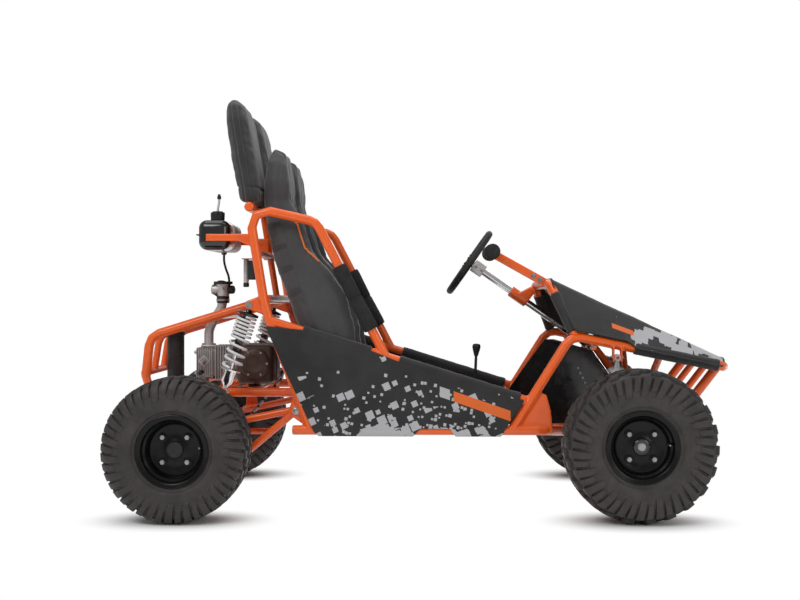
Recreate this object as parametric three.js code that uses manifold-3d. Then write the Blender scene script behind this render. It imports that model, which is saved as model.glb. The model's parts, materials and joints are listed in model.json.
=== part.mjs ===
// Two-seat off-road kart. Millimetres, +X forward, +Y to the driver's left, +Z up, ground at Z = 0.
// Places are worked out with X = 0 at the rear axle; the finished group is then centred on its length.
import * as THREE from 'three';
import { mergeVertices } from 'three/addons/utils/BufferGeometryUtils.js';
import Module from 'manifold-3d';

const wasm = await Module();
wasm.setup();

// Overall sizes
const WHEELBASE = 1457;
const HEIGHT = 1375;
const REAR_TRACK = 1005;
const FRONT_TRACK = 1015;
const FRAME_HALF = 368;

// Clearances between neighbours, and the overrun of every cut
const SEAT_GAP = 0.3;
const RUN_GAP = 0.5;
const OPEN_GAP = 0.9;
const BORE_GAP = 1.2;
const OVERRUN = 3;
const WELD = 0.001;
const FINISH = 0.1;

// Frame tube
const TUBE_R = 16;
const LIGHT_R = 12.5;
const HOOP_R = 10;
const BEND_R = 48;
const BEND_STEPS = 2;
const TUBE_SIDES = 8;
const LIGHT_SIDES = 6;
const PLATE = 5;
const ROD_SIDES = 8;
const BOLT_SIDES = 6;
const BOLT_R = 5;
const BOLT_HEAD_R = 9;
const BOLT_HEAD = 6;

// Side-view places as shares [of WHEELBASE, of HEIGHT]
const hoopTopShare = [0.1407, 0.7309];
const barBendShare = [0.2931, 0.6938];
const barFootShare = [0.4496, 0.3724];
const gripTopShare = [0.3445, 0.5883];
const gripLowShare = [0.4183, 0.4368];
const upKneeShare = [0.1750, 0.5091];
const upFootShare = [0.1874, 0.4582];
const railRearShare = [0.2402, 0.1978];
const legFootShare = [0.2814, 0.1978];
const railBendShare = [0.8099, 0.1978];
const keelRearShare = [0.9197, 0.1745];
const keelFrontShare = [1.0700, 0.1745];
const topRailFrontShare = [0.7632, 0.2691];
const frontFootShare = [0.7323, 0.1978];
const frontKneeShare = [0.8662, 0.4233];
const noseShare = [1.2128, 0.3484];
const dashFootShare = [0.8751, 0.4211];
const dashTopShare = [0.8257, 0.5469];
const armPivotShare = [0.2485, 0.2436];
const rearShockTopShare = [0.1421, 0.4960];
const rearShockLowShare = [0.0810, 0.2887];
const frontShockTopShare = [0.9677, 0.3709];
const frontShockLowShare = [0.9677, 0.1760];
const wheelCentreShare = [0.6534, 0.6095];
const seatCrossShares = [0.3294, 0.4804];
const floorCrossShares = [0.6589, 0.7755];

// Wheels
const REAR_TYRE = { radius: 228.6, halfWidth: 115, rimHalf: 96, lug: 12 };
const FRONT_TYRE = { radius: 241.3, halfWidth: 87.5, rimHalf: 70, lug: 12 };
const BEAD_R = 101.6;
const FLANGE_R = 114.5;
const RIM_WALL = 4;
const DROP = 13;
const TYRE_COLUMNS = 24;
const RIM_SIDES = TYRE_COLUMNS / 2;
const HUB_R = 30;
const DISC_SET = 38;
const NUT_R = 9.5;
const NUT_LENGTH = 12;
const NUT_CIRCLE_R = 55;
const CAP_R = 26;

// Rear axle, sprocket and brake disc
const AXLE_R = 15;
const AXLE_SIDES = 12;
const SPROCKET_TEETH = 26;
const SPROCKET_R = 78;
const TOOTH = 7;
const SPROCKET_WIDTH = 7;
const SPROCKET_Y = 122;
const DISC_R = 80;
const DISC_WIDTH = 5;
const CARRIER_Y = 255;
const CARRIER_WIDTH = 30;
const CARRIER_R = 42;

// Swing arm
const ARM_Y = 300;
const ARM_TUBE_R = 18;
const ARM_SHELL_Y = 340;

// Front suspension
const ARM_IN_Y = 150;
const ARM_OUT_Y = 372;
const ARM_RISE = 30;
const ARM_SPACING = 100;
const KEEL_Y = 118;
const LOWER_SPREAD = 75;
const BUSH_R = 11;
const BUSH_LENGTH = 30;
const OUT_BUSH = 38;
const LEG_SPREAD = 5;
const KINGPIN_Y = 414;
const KINGPIN_R = 7;
const BARREL_R = 13;
const SPINDLE_R = 10;
const STEER_ARM = 115;
const RACK_R = 8;
const RACK_HOUSING_R = 14;
const TIE_R = 6;
const BALL_R = 10;
const LEG_R = 10;
const LOWER_MOUNT_Y = 300;
const LOWER_EYE_GAP = 3.5;
const FRONT_HUB_IN = -20;

// Shock absorbers: lengths are measured down from the upper eye
const REAR_SHOCK = { y: 325, eyeR: 14, eyeHalf: 12, seatR: 36, seatAt: 30, coilR: 30, wireR: 4.5, tube: 15,
  tubeEnd: 168, shaft: 7, shaftTop: 96, sleeveR: 20, sleeve: 56, tightTurns: 6, wideTurns: 4,
    tightPitch: 12.5 };
const FRONT_SHOCK = { y: 375, eyeR: 12, eyeHalf: 10, seatR: 27.5, seatAt: 40, coilR: 22, wireR: 3.5, tube: 12,
  tubeEnd: 160, shaft: 6, shaftTop: 92, sleeveR: 15, sleeve: 44, tightTurns: 3, wideTurns: 4,
    tightPitch: 11 };
const SEAT_PLATE = 6;
const COIL_STEPS = 6;
const COIL_SIDES = 4;

const up = new THREE.Vector3(0, 0, 1);
const vec = (x, y, z) => new THREE.Vector3(x, y, z);
const at = (share, y) => vec(share[0] * WHEELBASE, y, share[1] * HEIGHT);
const mid = (a, b, share) => a.clone().lerp(b, share);

// Closed solids from three.js geometry: shared corners merged, faces pointing out
function solid(geometry) {
  const bare = new THREE.BufferGeometry();
  bare.setAttribute('position', geometry.getAttribute('position'));
  if (geometry.index) bare.setIndex(geometry.index);
  const merged = mergeVertices(bare, WELD);
  const place = merged.getAttribute('position').array;
  const corners = merged.index.array;
  const kept = [];
  let volume = 0;
  const [a, b, c] = [new THREE.Vector3(), new THREE.Vector3(), new THREE.Vector3()];
  for (let i = 0; i < corners.length; i += 3) {
    const [p, q, r] = [corners[i], corners[i + 1], corners[i + 2]];
    if (p === q || q === r || r === p) continue;
    kept.push(p, q, r);
    a.fromArray(place, p * 3);
    b.fromArray(place, q * 3);
    c.fromArray(place, r * 3);
    volume += a.dot(b.cross(c));
  }
  if (volume < 0) kept.reverse();
  return new wasm.Manifold(new wasm.Mesh({
    numProp: 3, vertProperties: new Float32Array(place), triVerts: new Uint32Array(kept) }));
}

const join = (...bodies) => bodies.flat().reduce((whole, next) => whole.add(next));
const cut = (body, ...tools) => tools.flat().reduce((rest, tool) => rest.subtract(tool), body);

// The corner and bend stations of a tube, so that rings fall only where the tube turns
class BentPath extends THREE.Curve {
  constructor(corners, bendRadius) {
    super();
    this.stations = [];
    const last = corners.length - 1;
    const heading = (i) => corners[i + 1].clone().sub(corners[i]).normalize();
    this.stations.push({ point: corners[0], tangent: heading(0) });
    for (let i = 1; i < last; i += 1) {
      const room = Math.min(corners[i].distanceTo(corners[i - 1]), corners[i].distanceTo(corners[i + 1])) / 2;
      this.bend(corners[i], heading(i - 1), heading(i), bendRadius, room);
    }
    this.stations.push({ point: corners[last], tangent: heading(last - 1) });
  }

  bend(corner, inward, outward, bendRadius, room) {
    const angle = inward.angleTo(outward);
    const setback = Math.min(bendRadius * Math.tan(angle / 2), room);
    const radius = setback / Math.tan(angle / 2);
    const side = outward.clone().addScaledVector(inward, -inward.dot(outward)).normalize();
    const start = corner.clone().addScaledVector(inward, -setback);
    for (let k = 0; k <= BEND_STEPS; k += 1) {
      const turn = angle * k / BEND_STEPS;
      const point = start.clone().addScaledVector(inward, radius * Math.sin(turn));
      point.addScaledVector(side, radius * (1 - Math.cos(turn)));
      const tangent = inward.clone().multiplyScalar(Math.cos(turn)).addScaledVector(side, Math.sin(turn));
      this.stations.push({ point, tangent });
    }
  }

  station(t) {
    return this.stations[Math.round(t * (this.stations.length - 1))];
  }

  getUtoTmapping(u) { return u; }
  getPoint(t, target = new THREE.Vector3()) { return target.copy(this.station(t).point); }
  getTangent(t, target = new THREE.Vector3()) { return target.copy(this.station(t).tangent); }
}

function circle(radius, sides) {
  const points = [];
  for (let i = 0; i < sides; i += 1) {
    const turn = (i + 0.5) * 2 * Math.PI / sides;
    points.push(new THREE.Vector2(radius * Math.cos(turn), radius * Math.sin(turn)));
  }
  return new THREE.Shape(points);
}

function tube(corners, radius, bendRadius = BEND_R, sides = TUBE_SIDES) {
  const path = new BentPath(corners, bendRadius);
  const steps = path.stations.length - 1;
  const options = { extrudePath: path, steps, bevelEnabled: false };
  return solid(new THREE.ExtrudeGeometry(circle(radius, sides), options));
}

// Lathed solid: profile of [radius, distance along the axis]
function revolve(profile, sides, origin, axis) {
  const geometry = new THREE.LatheGeometry(profile.map(([r, h]) => new THREE.Vector2(r, h)), sides);
  const turn = new THREE.Quaternion().setFromUnitVectors(vec(0, 1, 0), axis.clone().normalize());
  geometry.applyQuaternion(turn);
  geometry.translate(origin.x, origin.y, origin.z);
  return solid(geometry);
}

// Radius of a many-sided bore in which a rod of as many sides turns freely at every angle
const running = (radius, sides = ROD_SIDES, gap = RUN_GAP) => (radius + gap) / Math.cos(Math.PI / sides);

function rod(a, b, radius, sides = ROD_SIDES) {
  const length = a.distanceTo(b);
  return revolve([[0, 0], [radius, 0], [radius, length], [0, length]], sides, a, b.clone().sub(a));
}

function bush(a, b, radius, bore, sides = ROD_SIDES) {
  const length = a.distanceTo(b);
  const profile = [[bore, 0], [radius, 0], [radius, length], [bore, length], [bore, 0]];
  return revolve(profile, sides, a, b.clone().sub(a));
}

function block(centre, sizeX, sizeY, sizeZ) {
  const geometry = new THREE.BoxGeometry(sizeX, sizeY, sizeZ);
  geometry.translate(centre.x, centre.y, centre.z);
  return solid(geometry);
}

// Plate standing in the XZ plane: outline of [x, z], centred on y
function platePlan(outline, y, thickness) {
  const shape = new THREE.Shape(outline.map(([x, z]) => new THREE.Vector2(x, z)));
  const geometry = new THREE.ExtrudeGeometry(shape, { depth: thickness, bevelEnabled: false });
  geometry.rotateX(Math.PI / 2);
  geometry.translate(0, y + thickness / 2, 0);
  return solid(geometry);
}

// Plate across the kart, in the YZ plane: outline of [y, z], centred on x
function plateAcross(outline, x, thickness) {
  const shape = new THREE.Shape(outline.map(([y, z]) => new THREE.Vector2(y, z)));
  const geometry = new THREE.ExtrudeGeometry(shape, { depth: thickness, bevelEnabled: false });
  geometry.applyMatrix4(new THREE.Matrix4().makeBasis(vec(0, 1, 0), vec(0, 0, 1), vec(1, 0, 0)));
  geometry.translate(x - thickness / 2, 0, 0);
  return solid(geometry);
}

// Plate lying flat: outline of [x, y], from z up
function plateFlat(outline, z, thickness) {
  const shape = new THREE.Shape(outline.map(([x, y]) => new THREE.Vector2(x, y)));
  const geometry = new THREE.ExtrudeGeometry(shape, { depth: thickness, bevelEnabled: false });
  geometry.translate(0, 0, z);
  return solid(geometry);
}

// Closed skin over a row of rings, each with the same number of corners
function loft(rings, closed = false) {
  const places = rings.flat().flatMap((p) => [p.x, p.y, p.z]);
  const count = rings[0].length;
  const faces = [];
  const spans = closed ? rings.length : rings.length - 1;
  for (let i = 0; i < spans; i += 1) {
    const next = (i + 1) % rings.length;
    for (let j = 0; j < count; j += 1) {
      const k = (j + 1) % count;
      faces.push(i * count + j, next * count + j, next * count + k);
      faces.push(i * count + j, next * count + k, i * count + k);
    }
  }
  if (!closed) {
    for (const [ring, order] of [[0, 1], [rings.length - 1, -1]]) {
      const flat = flatten(rings[ring]);
      for (const face of THREE.ShapeUtils.triangulateShape(flat, [])) {
        const turned = order * flat.turn > 0 ? face : [face[0], face[2], face[1]];
        faces.push(...turned.map((j) => ring * count + j));
      }
    }
  }
  const geometry = new THREE.BufferGeometry();
  geometry.setAttribute('position', new THREE.Float32BufferAttribute(places, 3));
  geometry.setIndex(faces);
  return solid(geometry);
}

// A ring's corners in its own plane, and which way round they run
function flatten(ring) {
  const normal = new THREE.Vector3();
  ring.forEach((p, i) => normal.add(p.clone().cross(ring[(i + 1) % ring.length])));
  normal.normalize();
  const across = ring[1].clone().sub(ring[0]);
  across.addScaledVector(normal, -across.dot(normal)).normalize();
  const along = normal.clone().cross(across);
  const flat = ring.map((p) => new THREE.Vector2(p.dot(across), p.dot(along)));
  flat.turn = 1;
  return flat;
}

// Materials
const paint = (color, roughness, metalness) => new THREE.MeshStandardMaterial({ color, roughness,
  metalness });
const orange = paint(0xf0641e, 0.35, 0.1);
const blackSteel = paint(0x161616, 0.35, 0.4);
const blackPlastic = paint(0x1c1c1d, 0.5, 0.0);
const fabric = paint(0x2b2a2b, 0.85, 0.0);
const rubber = paint(0x1f1c1b, 0.9, 0.0);
const foam = paint(0x262424, 0.95, 0.0);
const chrome = paint(0xd0d0d2, 0.2, 1.0);
const alloy = paint(0xa9aaa8, 0.4, 0.8);
const springWhite = paint(0xe9e9ea, 0.4, 0.1);
const bronze = paint(0x4a352c, 0.5, 0.5);

const centreX = (noseShare[0] * WHEELBASE + TUBE_R - REAR_TYRE.radius) / 2;
const kart = new THREE.Group();
kart.position.x = -centreX;

function add(name, whole, material, parent = kart) {
  const body = whole.simplify(FINISH);
  const { vertProperties, triVerts } = body.getMesh();
  const geometry = new THREE.BufferGeometry();
  geometry.setAttribute('position', new THREE.Float32BufferAttribute(vertProperties, 3));
  geometry.setIndex(new THREE.Uint32BufferAttribute(triVerts, 1));
  geometry.computeVertexNormals();
  const mesh = new THREE.Mesh(geometry, material);
  mesh.name = name;
  parent.add(mesh);
  return mesh;
}

const SIDES = [['right', -1], ['left', 1]];

// Side frame
const GUSSET = { width: 4, back: 12, top: 130, reach: 135, foot: 14 };
const SHOCK_LUG = { radius: 15, inset: 14 };
const PIVOT_LUG = { radius: 26, pinR: 8.5, pinReach: 60, rise: 0.37 };
const CLEVIS = { half: 11, drop: 14, out: 14 };
const TAB = { at: 1335, width: 26, drop: 26 };

function frameTubes(side, grow) {
  const y = side * FRAME_HALF;
  const radius = TUBE_R + grow;
  const nose = at(noseShare, y);
  const hoop = [legFootShare, upFootShare, upKneeShare, hoopTopShare, barBendShare, barFootShare];
  const keel = (share) => at(share, side * KEEL_Y);
  return [
    tube(hoop.map((share) => at(share, y)), radius),
    tube([at(railRearShare, y), at(railBendShare, y), keel(keelRearShare), keel(keelFrontShare)], radius),
    tube([at(upFootShare, y), at(topRailFrontShare, y)], radius),
    tube([at(frontFootShare, y), at(frontKneeShare, y), nose, vec(nose.x, side * SEAT_GAP / 2, nose.z)],
      radius),
  ];
}

// Round lug around a pivot, running back to its upper and lower welds
function lugOutline(pivot, radius, upper, lower) {
  const outline = [];
  const upperTurn = Math.atan2(upper[1] - pivot.z, upper[0] - pivot.x);
  const lowerTurn = Math.atan2(lower[1] - pivot.z, lower[0] - pivot.x);
  const from = upperTurn + Math.PI / 2;
  let sweep = lowerTurn - Math.PI / 2 - from;
  while (sweep < 0) sweep += 2 * Math.PI;
  for (let k = 0; k <= 6; k += 1) {
    const turn = from + sweep * k / 6;
    outline.push([pivot.x + radius * Math.cos(turn), pivot.z + radius * Math.sin(turn)]);
  }
  outline.push(lower, upper);
  return outline;
}

function shockLugs(side) {
  const pivot = at(rearShockTopShare, side * REAR_SHOCK.y);
  const knee = at(upKneeShare, 0);
  const foot = at(upFootShare, 0);
  const outline = lugOutline(pivot, SHOCK_LUG.radius, [knee.x, knee.z + TUBE_R], [foot.x - TUBE_R / 2,
    foot.z + TUBE_R]);
  const gap = REAR_SHOCK.eyeHalf + RUN_GAP;
  const innerY = side * (REAR_SHOCK.y - gap - PLATE / 2);
  const outerEdge = FRAME_HALF - TUBE_R + SHOCK_LUG.inset;
  const outerFrom = REAR_SHOCK.y + gap;
  const outer = platePlan(outline, side * (outerFrom + outerEdge) / 2, outerEdge - outerFrom);
  const inner = platePlan(outline, innerY, PLATE);
  const webX = knee.x - TUBE_R / 2;
  const webSpan = outerEdge - REAR_SHOCK.y + gap + PLATE;
  const web = block(vec(webX, side * (outerEdge - webSpan / 2), knee.z - TUBE_R), TUBE_R / 2, webSpan,
    TUBE_R * 3);
  const headY = FRAME_HALF + TUBE_R + BOLT_HEAD;
  const bolt = rod(vec(pivot.x, innerY, pivot.z), vec(pivot.x, side * (outerEdge - PLATE), pivot.z), BOLT_R,
    BOLT_SIDES);
  const head = rod(vec(pivot.x, side * outerEdge, pivot.z),
    vec(pivot.x, side * Math.min(headY, outerEdge + BOLT_HEAD), pivot.z), BOLT_HEAD_R, 6);
  return [outer, inner, web, bolt, head];
}

function pivotLug(side) {
  const pivot = at(armPivotShare, 0);
  const foot = at(legFootShare, 0);
  const leg = mid(foot, at(upFootShare, 0), PIVOT_LUG.rise);
  const outline = lugOutline(pivot, PIVOT_LUG.radius, [leg.x, leg.z], [foot.x, foot.z]);
  const inFace = ARM_SHELL_Y + RUN_GAP;
  const outFace = FRAME_HALF - TUBE_R / 2;
  const plate = platePlan(outline, side * (inFace + outFace) / 2, outFace - inFace);
  const pin = rod(vec(pivot.x, side * (inFace - PIVOT_LUG.pinReach), pivot.z),
    vec(pivot.x, side * outFace, pivot.z), PIVOT_LUG.pinR);
  const head = rod(vec(pivot.x, side * outFace, pivot.z), vec(pivot.x, side * (outFace + BOLT_HEAD), pivot.z),
    PIVOT_LUG.pinR + BOLT_HEAD, 6);
  return [plate, pin, head];
}

function frontGusset(side) {
  const foot = at(frontFootShare, 0);
  const knee = at(frontKneeShare, 0);
  const slope = (knee.x - foot.x) / (knee.z - foot.z);
  const topZ = foot.z + GUSSET.top;
  const topX = foot.x + slope * GUSSET.top;
  const outline = [[foot.x + GUSSET.back, foot.z], [topX, topZ], [topX + GUSSET.top / 4, topZ - GUSSET.foot],
    [foot.x + GUSSET.reach * 0.95, foot.z + GUSSET.top / 2], [foot.x + GUSSET.reach, foot.z]];
  return platePlan(outline, side * FRAME_HALF, GUSSET.width);
}

function shockClevis(side) {
  const eye = at(frontShockTopShare, side * FRONT_SHOCK.y);
  const tubeZ = forwardTubeZ(eye.x);
  const parts = [];
  for (const end of [-1, 1]) {
    const x = eye.x + end * (FRONT_SHOCK.eyeHalf + RUN_GAP + PLATE / 2);
    const low = eye.z - CLEVIS.drop;
    const outY = side * (FRONT_SHOCK.y + CLEVIS.out);
    const inY = side * (FRONT_SHOCK.y - CLEVIS.out);
    parts.push(plateAcross([[inY, low], [outY, low], [outY, tubeZ - TUBE_R / 4], [inY, tubeZ - TUBE_R / 4]],
      x, PLATE));
  }
  const half = FRONT_SHOCK.eyeHalf + RUN_GAP + PLATE / 2;
  parts.push(rod(vec(eye.x - half, eye.y, eye.z), vec(eye.x + half, eye.y, eye.z), BOLT_R, BOLT_SIDES));
  return parts;
}

// Height of the forward tube's axis at a given place along the kart
function forwardTubeZ(x) {
  const knee = at(frontKneeShare, 0);
  const nose = at(noseShare, 0);
  return knee.z + (nose.z - knee.z) * (x - knee.x) / (nose.x - knee.x);
}

// Ears on the keel and the bulkhead tube that hold an arm's inner bushes
function armEars(side, x, z, tubeZ) {
  const parts = [];
  for (const end of [-1, 1]) {
    const earX = x + end * (BUSH_LENGTH / 2 + RUN_GAP + PLATE / 2);
    const outY = side * (ARM_IN_Y + BUSH_R);
    const inY = side * KEEL_Y;
    const outline = [[inY, tubeZ - TUBE_R / 2], [outY, z - BUSH_R], [outY, z + BUSH_R], [inY,
      tubeZ + TUBE_R / 2]];
    parts.push(plateAcross(outline, earX, PLATE));
  }
  const half = BUSH_LENGTH / 2 + RUN_GAP + PLATE / 2;
  parts.push(rod(vec(x - half, side * ARM_IN_Y, z), vec(x + half, side * ARM_IN_Y, z), BOLT_R, BOLT_SIDES));
  return parts;
}

const AXLE_X = WHEELBASE;
const keelZ = keelRearShare[1] * HEIGHT;
const lowerPivotZ = keelZ - BOLT_R;
const upperPivotZ = lowerPivotZ + ARM_SPACING;
const upperTubeZ = upperPivotZ;
const UPPER_BUSHES = [4, 46];
const LOWER_BUSHES = [-LOWER_SPREAD, LOWER_SPREAD];

function sideFrame(side) {
  const tabZ = forwardTubeZ(TAB.at);
  const ears = LOWER_BUSHES.flatMap((reach) => armEars(side, AXLE_X + reach, lowerPivotZ, keelZ));
  const tabPlate = platePlan([[TAB.at - TAB.width / 2, tabZ], [TAB.at + TAB.width / 2, tabZ],
    [TAB.at + TAB.width / 4, tabZ - TAB.drop - TUBE_R / 2], [TAB.at - TAB.width / 4,
      tabZ - TAB.drop - TUBE_R / 2]],
  side * FRAME_HALF, PLATE);
  return join(frameTubes(side, 0), shockLugs(side), pivotLug(side), frontGusset(side), shockClevis(side),
    ears, tabPlate, side < 0 ? tankBracket() : []);
}

const grownSides = SIDES.flatMap(([, side]) => frameTubes(side, SEAT_GAP));

// Rear frame: cross tubes, headrest hoops, seat rails, engine cradle and the rear bumper loops
const CRADLE = { y: 230, innerY: 75, z: 385, topX: -150, topZ: 575, rearX: -170, crossZ: 450, topCross: 76 };
const ENGINE_CROSS = [-60, 195];
const HEADREST = { y: 190, half: 100, topX: 150, topZ: 1335, padHalf: 150, thick: 62, lean: 0.167 };
const tankCross = mid(at(upKneeShare, 0), at(hoopTopShare, 0), 0.5);
const TANK_ARM = { z: 905, x: 60, height: 24, width: 5, gusset: 55, postShare: 0.672 };
const SEAT = { y: 175, railHalf: 115, railFrom: 455, railTo: 735, railWidth: 24 };

function crossTube(place, reach, radius = TUBE_R) {
  return rod(place.clone().setY(-reach), place.clone().setY(reach), radius);
}

function headrestHoop(centreY, grow) {
  const foot = at(hoopTopShare, centreY);
  const top = vec(HEADREST.topX, centreY, HEADREST.topZ);
  const spread = vec(0, HEADREST.half, 0);
  const corners = [foot.clone().sub(spread), top.clone().sub(spread), top.clone().add(spread),
    foot.clone().add(spread)];
  return tube(corners, HOOP_R + grow, BEND_R, LIGHT_SIDES);
}

function bumperLoop(y, full) {
  const rearTop = at(upKneeShare, y);
  const corner = vec(CRADLE.topX, y, CRADLE.topZ);
  const slope = (rearTop.z - corner.z) / (rearTop.x - corner.x);
  const cross = vec(CRADLE.topCross, y, corner.z + slope * (CRADLE.topCross - corner.x));
  const low = vec(CRADLE.rearX, y, CRADLE.z);
  const cradleFront = mid(at(legFootShare, y), at(upFootShare, y), legShareAt(CRADLE.z));
  if (full) return tube([rearTop, corner, low, cradleFront], TUBE_R);
  return tube([cross, corner, vec(CRADLE.rearX, y, CRADLE.crossZ)], LIGHT_R, BEND_R, LIGHT_SIDES);
}

// How far up the rear leg a given height lies, from 0 at its foot to 1 at the top rail
function legShareAt(z) {
  const foot = at(legFootShare, 0);
  const top = at(upFootShare, 0);
  return (z - foot.z) / (top.z - foot.z);
}

function frameRear() {
  const coped = FRAME_HALF - TUBE_R / 2;
  const lugFace = REAR_SHOCK.y - REAR_SHOCK.eyeHalf - RUN_GAP - PLATE - SEAT_GAP;
  const cradleFront = mid(at(legFootShare, 0), at(upFootShare, 0), legShareAt(CRADLE.z));
  const parts = [crossTube(at(hoopTopShare, 0), coped), crossTube(at(upKneeShare, 0), lugFace),
    crossTube(tankCross, coped, LIGHT_R), crossTube(cradleFront, ARM_SHELL_Y + RUN_GAP - SEAT_GAP)];
  for (const side of [-1, 1]) {
    parts.push(headrestHoop(side * HEADREST.y, 0));
    parts.push(bumperLoop(side * CRADLE.y, true), bumperLoop(side * CRADLE.innerY, false));
  }
  for (const x of ENGINE_CROSS) {
    parts.push(rod(vec(x, -CRADLE.y, CRADLE.z), vec(x, CRADLE.y, CRADLE.z), LIGHT_R, LIGHT_SIDES));
  }
  parts.push(rod(vec(CRADLE.rearX, -CRADLE.y, CRADLE.crossZ), vec(CRADLE.rearX, CRADLE.y, CRADLE.crossZ),
    LIGHT_R, TUBE_SIDES));
  const top = at(upKneeShare, 0);
  const slope = (top.z - CRADLE.topZ) / (top.x - CRADLE.topX);
  const crossZ = CRADLE.topZ + slope * (CRADLE.topCross - CRADLE.topX);
  parts.push(rod(vec(CRADLE.topCross, -CRADLE.y, crossZ), vec(CRADLE.topCross, CRADLE.y, crossZ),
    LIGHT_R, TUBE_SIDES));
  parts.push(rod(at(upKneeShare, 0), at(hoopTopShare, 0), LIGHT_R, LIGHT_SIDES));
  parts.push(tankArm(TANK.to + SEAT_GAP + TANK_ARM.width / 2));
  return join(cut(join(parts), grownSides));
}

// Bracket that carries the tank's outer end, on the right-hand post
function tankBracket() {
  const { z, x, height, gusset } = TANK_ARM;
  const post = mid(at(upKneeShare, 0), at(hoopTopShare, 0), TANK_ARM.postShare);
  const inner = -TANK.from + SEAT_GAP;
  const outline = [[x, z + height / 2], [post.x, z + height / 2], [post.x, z - height * 1.5],
    [post.x - gusset, z - height / 2], [x, z - height / 2]];
  const outer = FRAME_HALF - TUBE_R / 2;
  return [platePlan(outline, -inner - PLATE / 2, PLATE),
    block(vec(post.x, -(inner + outer) / 2, z - height / 2), TUBE_R, outer - inner, 2 * height)];
}

function tankArm(y) {
  const { z, x, height, width, gusset } = TANK_ARM;
  const outline = [[x, z + height / 2], [tankCross.x, z + height / 2], [tankCross.x, tankCross.z - LIGHT_R],
    [tankCross.x - gusset / 3, tankCross.z - LIGHT_R], [tankCross.x - gusset, z - height / 2], [x,
      z - height / 2]];
  return platePlan(outline, y, width);
}

// Floor: seat rails on their cross tubes, the centre spine and the shifter's stand
const SHIFTER = { x: 962, y: 30, pivotZ: 330, knobZ: 541, knobX: 971, standWidth: 44, standHalf: 14 };

function floorTubes() {
  const parts = [];
  const floorZ = railRearShare[1] * HEIGHT;
  const reach = FRAME_HALF - TUBE_R - SEAT_GAP;
  for (const share of [...seatCrossShares, ...floorCrossShares]) {
    parts.push(rod(vec(share * WHEELBASE, -reach, floorZ), vec(share * WHEELBASE, reach, floorZ), TUBE_R));
  }
  const topZ = floorZ + TUBE_R / 2;
  const railHeight = Math.min(...seatShares.map(([, z]) => z)) * HEIGHT - SEAT_GAP - topZ;
  for (const side of [-1, 1]) {
    for (const edge of [-1, 1]) {
      const y = side * SEAT.y + edge * SEAT.railHalf;
      parts.push(block(vec((SEAT.railFrom + SEAT.railTo) / 2, y, topZ + railHeight / 2),
        SEAT.railTo - SEAT.railFrom, SEAT.railWidth, railHeight));
    }
  }
  parts.push(tube([vec(seatCrossShares[0] * WHEELBASE, 0, floorZ), vec(floorCrossShares[1] * WHEELBASE, 0,
    floorZ),
    vec(BULKHEAD.rearX, 0, keelZ)], LIGHT_R, BEND_R, LIGHT_SIDES));
  for (const edge of [-1, 1]) {
    const y = SHIFTER.y + edge * SHIFTER.standHalf;
    const half = SHIFTER.standWidth / 2;
    parts.push(platePlan([[SHIFTER.x - half, floorZ], [SHIFTER.x + half, floorZ],
      [SHIFTER.x + BOLT_HEAD_R, SHIFTER.pivotZ + BOLT_HEAD_R], [SHIFTER.x - BOLT_HEAD_R,
        SHIFTER.pivotZ + BOLT_HEAD_R]],
    y, PLATE));
  }
  const { x, y, pivotZ, standHalf } = SHIFTER;
  parts.push(rod(vec(x, y - standHalf, pivotZ), vec(x, y + standHalf, pivotZ), BOLT_R, BOLT_SIDES));
  return parts;
}

// Front frame: bulkhead, bumper loops, dash hoop, steering bracket and rack housing
const BULKHEAD = { rearX: 1416, frontX: 1530 };
const strutShare = [1.0650, 0.3790];
const BUMPER = { outerY: 250, innerY: 90, lowX: 1652, lowZ: 330 };
const DASH = { halfTop: 270, bend: 60 };
const STEER_Y = 190;
const STEER_TILT = 34.8 * Math.PI / 180;
const steerAxis = vec(Math.cos(STEER_TILT), 0, -Math.sin(STEER_TILT));
const wheelCentre = at(wheelCentreShare, STEER_Y);
const COLUMN = { radius: 12.7, joint: 545, yokeR: 14, yoke: 26, ballR: 12, shaftR: 9,
  bracketAt: 186, bracketLength: 74, bracketR: 21, plate: 8, plateRise: 30 };
const jointCentre = wheelCentre.clone().addScaledVector(steerAxis, COLUMN.joint);
const rackX = AXLE_X + STEER_ARM;
const PINION = { y: 40, rise: 22, cupR: 20, cupLength: 26 };
const pinionPoint = vec(rackX, PINION.y, lowerPivotZ + PINION.rise);
const shaftAxis = pinionPoint.clone().sub(jointCentre).normalize();
const RACK_TRAVEL = 54.1;
const RACK_HALF = ARM_IN_Y - RACK_TRAVEL - BALL_R - OPEN_GAP;

function rackHousing() {
  const bore = RACK_R + RUN_GAP;
  const from = vec(rackX, -RACK_HALF, lowerPivotZ);
  const to = vec(rackX, RACK_HALF, lowerPivotZ);
  const mouth = pinionPoint.clone().addScaledVector(shaftAxis, -PINION.cupLength);
  const cup = rod(pinionPoint, mouth, PINION.cupR);
  const well = rod(mouth.clone().addScaledVector(shaftAxis, -OVERRUN), pinionPoint, running(COLUMN.shaftR));
  const foot = rod(pinionPoint, vec(rackX, PINION.y, lowerPivotZ), PINION.cupR);
  const clamps = [-1, 1].map((side) => {
    const span = rackX - BULKHEAD.frontX;
    return block(vec(rackX - span / 2, side * (RACK_HALF - BUSH_LENGTH / 2), lowerPivotZ), span,
      BUSH_LENGTH / 2,
      RACK_HOUSING_R);
  });
  const shell = join(rod(from, to, RACK_HOUSING_R), clamps, foot, cup);
  return cut(shell, rod(from.clone().setY(from.y - OVERRUN), to.clone().setY(to.y + OVERRUN), bore), well);
}

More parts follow.
